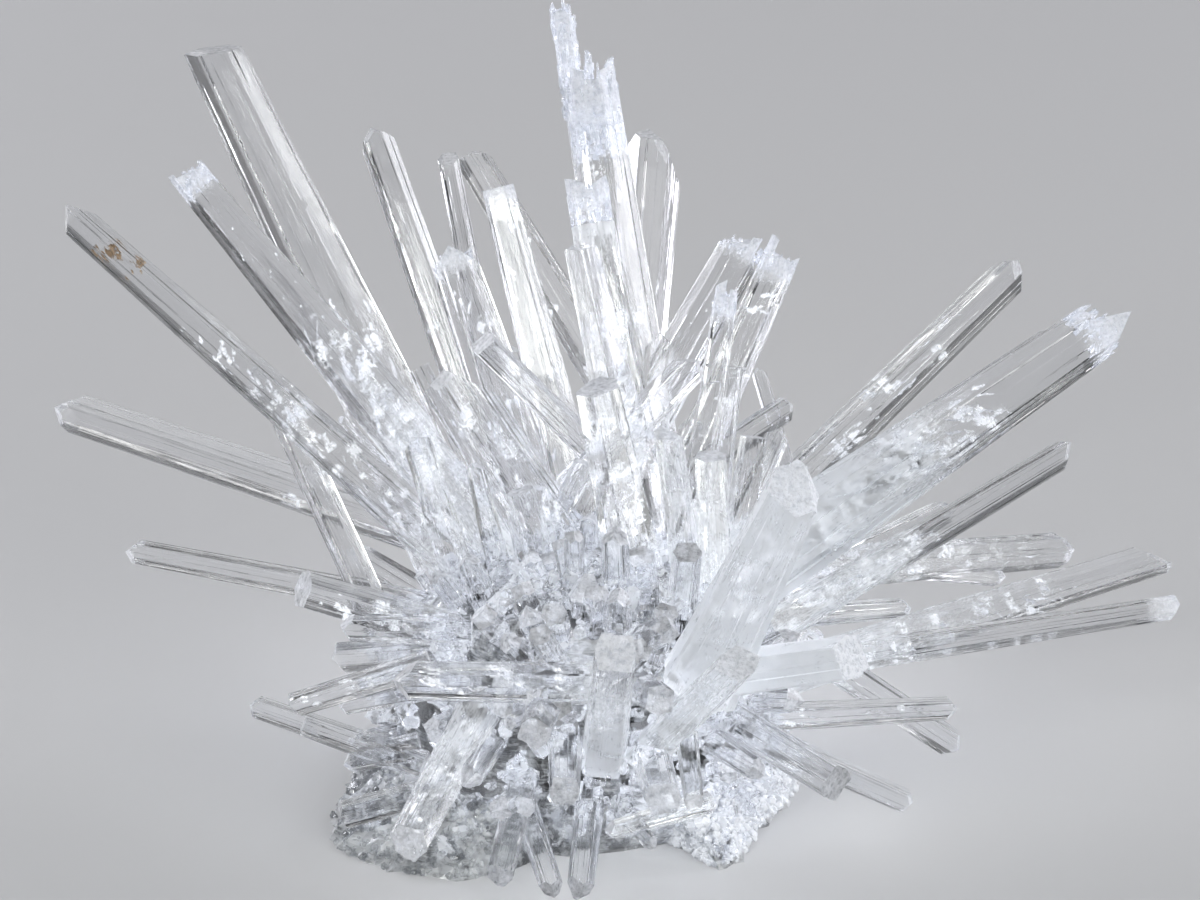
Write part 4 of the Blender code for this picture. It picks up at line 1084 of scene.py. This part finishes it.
class Finish:
    """A material, and the one way that nodes are added to it."""

    def __init__(self, name, shown):
        self.material = bpy.data.materials.new(name)
        self.material.use_nodes = True
        self.material.diffuse_color = (*shown, 1.0)
        self.material.node_tree.nodes.clear()

    def add(self, kind, settings, sockets):
        node = self.material.node_tree.nodes.new(kind)
        for key, value in settings.items():
            setattr(node, key, value)
        for key, value in sockets.items():
            value = getattr(value, "socket", value)
            if isinstance(value, bpy.types.NodeSocket):
                self.material.node_tree.links.new(value, node.inputs[key])
            else:
                node.inputs[key].default_value = value
        return node

    def place(self):
        return self.add("ShaderNodeTexCoord", {}, {}).outputs["Object"]

    def map(self, name):
        """The two numbers of a UV map."""
        vector = self.add("ShaderNodeUVMap", {"uv_map": name}, {}).outputs["UV"]
        parts = self.add("ShaderNodeSeparateXYZ", {}, {"Vector": vector})
        return Level(self, parts.outputs["X"]), Level(self, parts.outputs["Y"])

    def vector(self, x, y, z=0.0):
        return self.add("ShaderNodeCombineXYZ", {}, {"X": x, "Y": y, "Z": z}).outputs[0]

    def noise(self, vector, scale, detail=4.0, roughness=0.55, distortion=0.0):
        sockets = {
            "Vector": vector, "Scale": scale, "Detail": detail,
            "Roughness": roughness, "Distortion": distortion,
        }
        return Level(self, self.add("ShaderNodeTexNoise", {}, sockets).outputs[0])

    def blend(self, level, low, high):
        """A colour from low to high, each of them a colour's socket or its four parts."""
        return self.add("ShaderNodeMix", {"data_type": "RGBA"}, {0: level, 6: low, 7: high}).outputs[2]

    def colour(self, level, low, high):
        return self.blend(level, (*low, 1.0), (*high, 1.0))

    def bump(self, height, strength, distance):
        sockets = {"Strength": strength, "Distance": distance, "Height": height}
        return self.add("ShaderNodeBump", {}, sockets).outputs[0]

    def surface(self, **sockets):
        """A Principled shader; an underscore in a socket's name stands for a space."""
        named = {key.replace("_", " "): value for key, value in sockets.items()}
        return self.add("ShaderNodeBsdfPrincipled", {}, named).outputs[0]

    def mixed(self, level, first, second):
        return self.add("ShaderNodeMixShader", {}, {0: level, 1: first, 2: second}).outputs[0]

    def lit_through(self, shader, tint):
        """The shader, which lamps also shine through, tinted, to what is behind it."""
        shadow = self.add("ShaderNodeLightPath", {}, {}).outputs["Is Shadow Ray"]
        through = self.add("ShaderNodeBsdfTransparent", {}, {"Color": (*tint, 1.0)}).outputs[0]
        return self.mixed(shadow, shader, through)

    def done(self, shader):
        self.add("ShaderNodeOutputMaterial", {}, {"Surface": shader})
        return self.material


QUARTZ_IOR = 1.544


def growth_lines(finish):
    """A normal with fine lines along the crystal, as it grew."""
    along, around = finish.map("along")
    lines = finish.noise(finish.vector(along * 0.035, around * 2.4), 1.0, 2.0, 0.6)
    return finish.bump(lines, 0.3, 0.00012)


def clear_finish(colours):
    """Clear quartz with lengthwise growth lines."""
    finish = Finish("clear_quartz", colours.clear)
    clear = finish.surface(
        Base_Color=(*colours.clear, 1.0), Roughness=0.0, IOR=QUARTZ_IOR,
        Transmission_Weight=1.0, Normal=growth_lines(finish),
    )
    return finish.done(finish.lit_through(clear, colours.through_clear))


def milky_finish(colours):
    """Clear quartz with milky clouds and feathers, as thick as the map "finish" says."""
    finish = Finish("milky_quartz", colours.milky)
    milk, _ = finish.map("finish")
    along, around = finish.map("along")
    normal = growth_lines(finish)
    clouds = finish.noise(finish.place(), 230.0, 4.0, 0.72, 0.8)
    feathers = finish.noise(finish.vector(along * 0.3, around * 1.5), 1.0, 3.0, 0.65, 1.0)
    milky = (milk * 1.5 + clouds * 1.2 + feathers * 0.7 - 1.6).between(0.0, 0.35)
    clear = finish.surface(
        Base_Color=(*colours.clear, 1.0), Roughness=0.0, IOR=QUARTZ_IOR,
        Transmission_Weight=1.0, Normal=normal,
    )
    white = finish.surface(
        Base_Color=finish.colour(clouds, colours.milky_shade, colours.milky),
        Roughness=0.3, IOR=QUARTZ_IOR, Transmission_Weight=0.5, Normal=normal,
    )
    shader = finish.mixed(milky * 0.85, clear, white)
    return finish.done(finish.lit_through(shader, colours.through_clear))


def frosted_finish(colours):
    """Frosted white ends, with clear spots where the map "finish" says little frost."""
    finish = Finish("frosted_quartz", colours.frost)
    _, frost = finish.map("finish")
    sugar = finish.noise(finish.place(), 1300.0, 3.0, 0.7)
    grain = (sugar + (1 - frost) * 0.35).between(0.38, 0.62)
    frosted = (frost * 1.5 + sugar * 1.4 - 1.1).clamped()
    clear = finish.surface(
        Base_Color=(*colours.clear, 1.0), Roughness=0.0, IOR=QUARTZ_IOR, Transmission_Weight=1.0,
    )
    white = finish.surface(
        Base_Color=finish.colour(grain, colours.frost_shade, colours.frost),
        Roughness=0.4, IOR=QUARTZ_IOR, Transmission_Weight=0.28,
        Normal=finish.bump(sugar, 0.8, 0.0004),
    )
    shader = finish.mixed(frosted * 0.92, clear, white)
    return finish.done(finish.lit_through(shader, colours.through_clear))


def druse_finish(colours):
    """Small crystals: clear with milky patches."""
    finish = Finish("druse_quartz", colours.milky)
    clouds = finish.noise(finish.place(), 420.0, 3.0, 0.7)
    clear = finish.surface(
        Base_Color=(*colours.clear, 1.0), Roughness=0.0, IOR=QUARTZ_IOR, Transmission_Weight=1.0,
    )
    white = finish.surface(
        Base_Color=finish.colour(clouds, colours.milky_shade, colours.frost),
        Roughness=0.2, IOR=QUARTZ_IOR, Transmission_Weight=0.35,
    )
    shader = finish.mixed(clouds.between(0.46, 0.56) * 0.85, clear, white)
    return finish.done(finish.lit_through(shader, colours.through_clear))


def veil_finish(name, low, high, through):
    """A feathery veil, thinnest at its rim."""
    finish = Finish(name, high)
    ring, _ = finish.map("veil")
    feathers = finish.noise(finish.place(), 900.0, 3.0, 0.75, 0.8)
    alpha = (feathers * 2.4 - ring * 0.6 - 0.72).between(0.0, 0.4)
    flake = finish.surface(Base_Color=finish.colour(feathers, low, high), Roughness=0.4, Alpha=alpha)
    return finish.done(finish.lit_through(flake, through))


def sliver_finish(colours):
    """Sugary white quartz on broken tips."""
    finish = Finish("sugary_quartz", colours.frost)
    patches = finish.noise(finish.place(), 900.0, 2.0, 0.6)
    white = finish.surface(
        Base_Color=finish.colour(patches.between(0.38, 0.62), colours.frost_shade, colours.frost),
        Roughness=0.2, IOR=QUARTZ_IOR, Transmission_Weight=0.5,
    )
    glassy = finish.surface(
        Base_Color=(*colours.clear, 1.0), Roughness=0.0, IOR=QUARTZ_IOR, Transmission_Weight=1.0,
    )
    shader = finish.mixed(patches.between(0.48, 0.6) * 0.7, white, glassy)
    return finish.done(finish.lit_through(shader, colours.through_clear))


def crust_finish(colours):
    """Grey glassy grains, some of them cloudy, and sugary white on the right."""
    finish = Finish("grainy_crust", colours.crust)
    place = finish.place()
    patches = finish.noise(place, 210.0, 3.0, 0.65)
    grain = finish.noise(place, 1500.0, 2.0, 0.65)
    across = Level(finish, finish.add("ShaderNodeSeparateXYZ", {}, {"Vector": place}).outputs["X"])
    white = across.between(-0.004, 0.012)
    dull = finish.colour(patches * 0.6 + grain * 0.4, colours.crust_shade, colours.crust)
    bright = finish.colour(grain, colours.milky, colours.frost)
    colour = finish.blend(white, dull, bright)
    glassy = finish.surface(
        Base_Color=colour, Roughness=0.05, IOR=QUARTZ_IOR, Transmission_Weight=0.85,
    )
    cloudy = finish.surface(Base_Color=colour, Roughness=0.3, IOR=QUARTZ_IOR)
    shader = finish.mixed((patches + white * 0.16).between(0.46, 0.64) * 0.85, glassy, cloudy)
    return finish.done(finish.lit_through(shader, colours.through_milky))


def floor_finish(colours):
    finish = Finish("pale_floor", colours.floor)
    place = finish.place()
    tint = finish.noise(place, 3.0, 2.0, 0.5)
    shade = tuple(part * 0.96 for part in colours.floor)
    return finish.done(finish.surface(
        Base_Color=finish.colour(tint, shade, colours.floor), Roughness=0.75,
        Specular_IOR_Level=0.2,
    ))


# The stage.

CAMERA_LENS = 100.0
CAMERA_SENSOR = 36.0
FLOOR_RADIUS = 3.4
FLOOR_FLAT = 1.5
FLOOR_RISE = 2.2
FLOOR_AROUND = 96

# Soft lights: name, place in metres, width and height in metres, watts, colour.
LIGHTS = (
    ("back_right", (1.38, 0.71, 0.60), (1.19, 0.84), 32.0, (0.94, 0.94, 1.0)),
    ("back_left", (-0.94, 0.72, 0.40), (0.47, 0.61), 15.0, (0.93, 0.93, 1.0)),
    ("overhead", (-0.09, 0.09, 1.35), (0.90, 0.90), 7.0, (1.0, 1.0, 1.0)),
    ("front_left", (-0.81, -0.76, 0.72), (0.22, 0.61), 13.5, (0.98, 1.0, 0.98)),
    ("front_right", (1.06, -0.84, 0.56), (0.84, 0.76), 19.0, (0.98, 1.0, 0.98)),
)
LIGHT_AIM = Vector((0.0, -0.01, 0.03))

# The faint light that comes from all round.
SURROUNDINGS = (0.025, 0.026, 0.03)

# Light passes many crystals before it comes out again.
PATH_BOUNCES = 14
NOISE_THRESHOLD = 0.1


def make_floor():
    """A round floor that is flat in the middle and curves up all round.

    A point is (r cos a, r sin a, rise * t^2), with t = (r - flat) / (radius - flat) past flat.
    """
    curved = np.linspace(FLOOR_FLAT, FLOOR_RADIUS, 24)[1:]
    r = np.concatenate(((0.01,), np.linspace(0.1, FLOOR_FLAT, 12), curved))
    a = np.arange(FLOOR_AROUND) / FLOOR_AROUND * 2 * math.pi
    t = np.clip((r - FLOOR_FLAT) / (FLOOR_RADIUS - FLOOR_FLAT), 0, None)
    z = np.broadcast_to((FLOOR_RISE * t**2)[:, None], (len(r), len(a)))
    points = np.stack((r[:, None] * np.cos(a), r[:, None] * np.sin(a), z), axis=-1).reshape(-1, 3) / MM
    mesh = new_mesh("floor", points, tube_faces(len(r), len(a)).tolist() + [list(range(len(a)))])
    mesh.polygons.foreach_set("use_smooth", np.ones(len(mesh.polygons), bool))
    return mesh


def add_camera():
    """The camera looks along the front view, level across and tilted down by VIEW_TILT."""
    across, up, away = (Vector(axis) for axis in view_axes())
    camera = bpy.data.cameras.new("camera")
    camera.lens = CAMERA_LENS
    camera.sensor_width = CAMERA_SENSOR
    obj = add_object("camera", camera)
    eye = Vector(HEART_PLACE * MM) + up * VIEW_CENTRE_UP * MM - away * VIEW_DISTANCE * MM
    turn = Matrix((across, up, -away)).transposed().to_4x4()
    obj.matrix_world = Matrix.Translation(eye) @ turn
    bpy.context.scene.camera = obj


def add_lights(power):
    for name, place, (width, height), watts, colour in LIGHTS:
        light = bpy.data.lights.new(name, "AREA")
        light.shape = "RECTANGLE"
        light.size = width
        light.size_y = height
        light.energy = watts * power
        light.color = colour
        obj = add_object(name, light)
        obj.visible_camera = False
        obj.location = place
        obj.rotation_euler = (LIGHT_AIM - Vector(place)).to_track_quat("-Z", "Y").to_euler()
    world = bpy.data.worlds.new("surroundings")
    world.use_nodes = True
    world.node_tree.nodes["Background"].inputs["Color"].default_value = (*SURROUNDINGS, 1.0)
    bpy.context.scene.world = world


def let_light_through():
    """Lets light pass many crystals, and stops refining where the noise is low."""
    bpy.context.scene.view_settings.view_transform = "Standard"
    cycles = bpy.context.scene.cycles
    cycles.max_bounces = PATH_BOUNCES
    cycles.transmission_bounces = PATH_BOUNCES
    cycles.transparent_max_bounces = PATH_BOUNCES
    cycles.adaptive_threshold = NOISE_THRESHOLD
    cycles.use_light_tree = False


# What a user can change.


class ClusterSizes(bpy.types.PropertyGroup):
    """Sizes and counts of the cluster's details."""

    bevel: FloatProperty(
        name="Edge bevel", description="Bevel of a crystal's long edges, as a share of its sides",
        default=0.05, min=0.01, max=0.15,
    )
    ledge: FloatProperty(
        name="Growth ledges", description="Most that a ledge stands in, as a share of the half-width",
        default=0.075, min=0.0, max=0.15,
    )
    ledge_ramp: FloatProperty(
        name="Ledge ramp", description="Half of the width of a ledge's slope, as a share of the side",
        default=0.012, min=0.005, max=0.05,
    )
    ring_every: FloatProperty(
        name="Ring spacing", description="Distance between a crystal's rings of points, in millimetres",
        default=6.0, min=2.0, max=20.0,
    )
    swell: FloatProperty(
        name="Swell", description="How far a crystal's width wanders along its length",
        default=0.012, min=0.0, max=0.05,
    )
    stubs: IntProperty(
        name="Stubs", description="Short crystals on the heart", default=70, min=0, max=300,
    )
    druse: IntProperty(
        name="Druse", description="Tiny crystals on the heart, and a third as many on the foot's rim",
        default=900, min=3, max=3000,
    )
    veils: FloatProperty(
        name="Veils", description="Share of the milky veils inside the crystals",
        default=1.0, min=0.1, max=2.0, subtype="FACTOR",
    )
    grains: IntProperty(
        name="Crust grains", description="Grains on the foot", default=5600, min=1, max=9000,
    )
    slivers: FloatProperty(
        name="Slivers", description="Share of the sugary slivers on the broken tips",
        default=1.0, min=0.1, max=4.0, subtype="FACTOR",
    )
    seed: IntProperty(name="Seed", description="Changes what is random", default=11, min=0)


def colour_property(name, description, default):
    return FloatVectorProperty(
        name=name, description=description, default=default, size=3, min=0.0, max=1.0,
        subtype="COLOR",
    )


class ClusterColours(bpy.types.PropertyGroup):
    """Colours of the cluster and its stage."""

    clear: colour_property("Clear quartz", "Tint of light through clear quartz", (0.985, 0.99, 1.0))
    milky: colour_property("Milky quartz", "Milky veils at their lightest", (0.94, 0.95, 0.965))
    milky_shade: colour_property("Milky shade", "Milky veils at their darkest", (0.74, 0.765, 0.80))
    through_clear: colour_property(
        "Light through clear", "Share of the lamps' light that one clear face lets on",
        (0.915, 0.918, 0.925),
    )
    through_milky: colour_property(
        "Light through milk", "Share of the lamps' light that one milky face lets on",
        (0.70, 0.71, 0.73),
    )
    frost: colour_property("Frost", "Broken and frosted ends at their lightest", (0.92, 0.93, 0.97))
    frost_shade: colour_property(
        "Frost shade", "Broken and frosted ends at their darkest", (0.70, 0.72, 0.77),
    )
    crust: colour_property("Crust", "Grains of the foot at their lightest", (0.76, 0.775, 0.79))
    crust_shade: colour_property(
        "Crust shade", "Grains of the foot at their darkest", (0.33, 0.338, 0.35),
    )
    rust: colour_property("Rust", "The stain in the longest left crystal", (0.36, 0.25, 0.15))
    floor: colour_property("Floor", "The pale floor", (0.62, 0.62, 0.625))


class StageSettings(bpy.types.PropertyGroup):
    """Settings of the stage."""

    power: FloatProperty(
        name="Light", description="Strength of all the soft lights", default=0.45, min=0.0, max=10.0,
    )


class QUARTZ_OT_cluster(bpy.types.Operator):
    """Grows the clear crystals, the heart and the foot as one piece"""

    bl_idname = "quartz.cluster"
    bl_label = "Clear cluster"

    def execute(self, context):
        sizes = context.scene.quartz_sizes
        rng = np.random.default_rng(sizes.seed)
        workshop = bpy.data.collections.new("workshop")
        context.scene.collection.children.link(workshop)
        grow_crystals(workshop, sizes, rng)
        grow_shards(workshop, sizes, rng)
        grow_stubs(workshop, sizes, rng)
        foot_mesh = make_foot(rng)
        write_plain_finish(foot_mesh, *FOOT_FINISH)
        add_object("foot", foot_mesh, workshop)
        heart_mesh = make_heart(rng)
        write_plain_finish(heart_mesh, *HEART_FINISH)
        heart = add_object("heart", heart_mesh)
        floor_box = under_floor(context.scene.collection)
        cluster = add_object("crystals", grown_together(heart, workshop, floor_box))
        remove_all(list(workshop.objects) + [heart, floor_box])
        bpy.data.collections.remove(workshop)
        if not cluster.data.polygons:
            raise RuntimeError("the crystals could not be grown together")
        colours = context.scene.quartz_colours
        finish_piece(cluster, clear_finish(colours), milky_finish(colours), frosted_finish(colours))
        sort_faces(cluster.data)
        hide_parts(NODE)
        return {"FINISHED"}


class QUARTZ_OT_druse(bpy.types.Operator):
    """Crowds small crystals onto the heart"""

    bl_idname = "quartz.druse"
    bl_label = "Druse"

    def execute(self, context):
        sizes = context.scene.quartz_sizes
        rng = np.random.default_rng(sizes.seed + 1)
        druse = add_object("druse", make_druse(sizes.druse, rng))
        finish_piece(druse, druse_finish(context.scene.quartz_colours))
        return {"FINISHED"}


class QUARTZ_OT_veils(bpy.types.Operator):
    """Sets milky veils inside the long crystals"""

    bl_idname = "quartz.veils"
    bl_label = "Veils"

    def execute(self, context):
        sizes = context.scene.quartz_sizes
        colours = context.scene.quartz_colours
        rng = np.random.default_rng(sizes.seed + 2)
        veils = add_object("veils", make_veils("veils", VEILS, sizes.veils, rng))
        milky_veil = veil_finish("milky_veil", colours.milky, colours.frost, colours.through_milky)
        finish_piece(veils, milky_veil)
        stains = add_object("rusty_stain", make_veils("stains", STAINS, sizes.veils, rng))
        rust_shade = tuple(part * 0.5 for part in colours.rust)
        rusty_veil = veil_finish("rusty_veil", rust_shade, colours.rust, colours.through_milky)
        finish_piece(stains, rusty_veil)
        return {"FINISHED"}


class QUARTZ_OT_tips(bpy.types.Operator):
    """Roughens the broken tips with sugary slivers"""

    bl_idname = "quartz.tips"
    bl_label = "Sugary tips"

    def execute(self, context):
        sizes = context.scene.quartz_sizes
        rng = np.random.default_rng(sizes.seed + 3)
        slivers = add_object("sugary_tips", make_slivers(sizes.slivers, rng))
        finish_piece(slivers, sliver_finish(context.scene.quartz_colours))
        return {"FINISHED"}


class QUARTZ_OT_crust(bpy.types.Operator):
    """Covers the foot with glassy grains"""

    bl_idname = "quartz.crust"
    bl_label = "Grainy crust"

    def execute(self, context):
        sizes = context.scene.quartz_sizes
        rng = np.random.default_rng(sizes.seed + 4)
        crust = add_object("crust", make_crust(sizes.grains, rng))
        finish_piece(crust, crust_finish(context.scene.quartz_colours))
        return {"FINISHED"}


class QUARTZ_OT_stage(bpy.types.Operator):
    """Lays the pale floor and sets the camera and the soft lights"""

    bl_idname = "quartz.stage"
    bl_label = "Stage"

    def execute(self, context):
        floor = add_object("floor", make_floor())
        floor.data.materials.append(floor_finish(context.scene.quartz_colours))
        add_camera()
        add_lights(context.scene.quartz_stage.power)
        let_light_through()
        return {"FINISHED"}


class QUARTZ_PT_cluster(bpy.types.Panel):
    """The cluster's pieces, sizes and colours."""

    bl_idname = "QUARTZ_PT_cluster"
    bl_label = "Quartz Cluster"
    bl_space_type = "VIEW_3D"
    bl_region_type = "UI"
    bl_category = "Quartz"

    def draw(self, context):
        layout = self.layout
        for operator in OPERATORS:
            layout.operator(operator.bl_idname)
        scene = context.scene
        for group in (scene.quartz_sizes, scene.quartz_colours, scene.quartz_stage):
            box = layout.box()
            for name in group.__annotations__:
                box.prop(group, name)


OPERATORS = (
    QUARTZ_OT_stage, QUARTZ_OT_cluster, QUARTZ_OT_druse, QUARTZ_OT_veils, QUARTZ_OT_tips,
    QUARTZ_OT_crust,
)
GROUPS = (ClusterSizes, ClusterColours, StageSettings)


def register():
    for kind in (*GROUPS, *OPERATORS, QUARTZ_PT_cluster):
        bpy.utils.register_class(kind)
    bpy.types.Scene.quartz_sizes = PointerProperty(type=ClusterSizes)
    bpy.types.Scene.quartz_colours = PointerProperty(type=ClusterColours)
    bpy.types.Scene.quartz_stage = PointerProperty(type=StageSettings)


def unregister():
    del bpy.types.Scene.quartz_stage
    del bpy.types.Scene.quartz_colours
    del bpy.types.Scene.quartz_sizes
    for kind in reversed((*GROUPS, *OPERATORS, QUARTZ_PT_cluster)):
        bpy.utils.unregister_class(kind)


def main():
    register()
    bpy.ops.quartz.stage()
    bpy.ops.quartz.cluster()
    bpy.ops.quartz.druse()
    bpy.ops.quartz.veils()
    bpy.ops.quartz.tips()
    bpy.ops.quartz.crust()


if __name__ == "__main__":
    main()
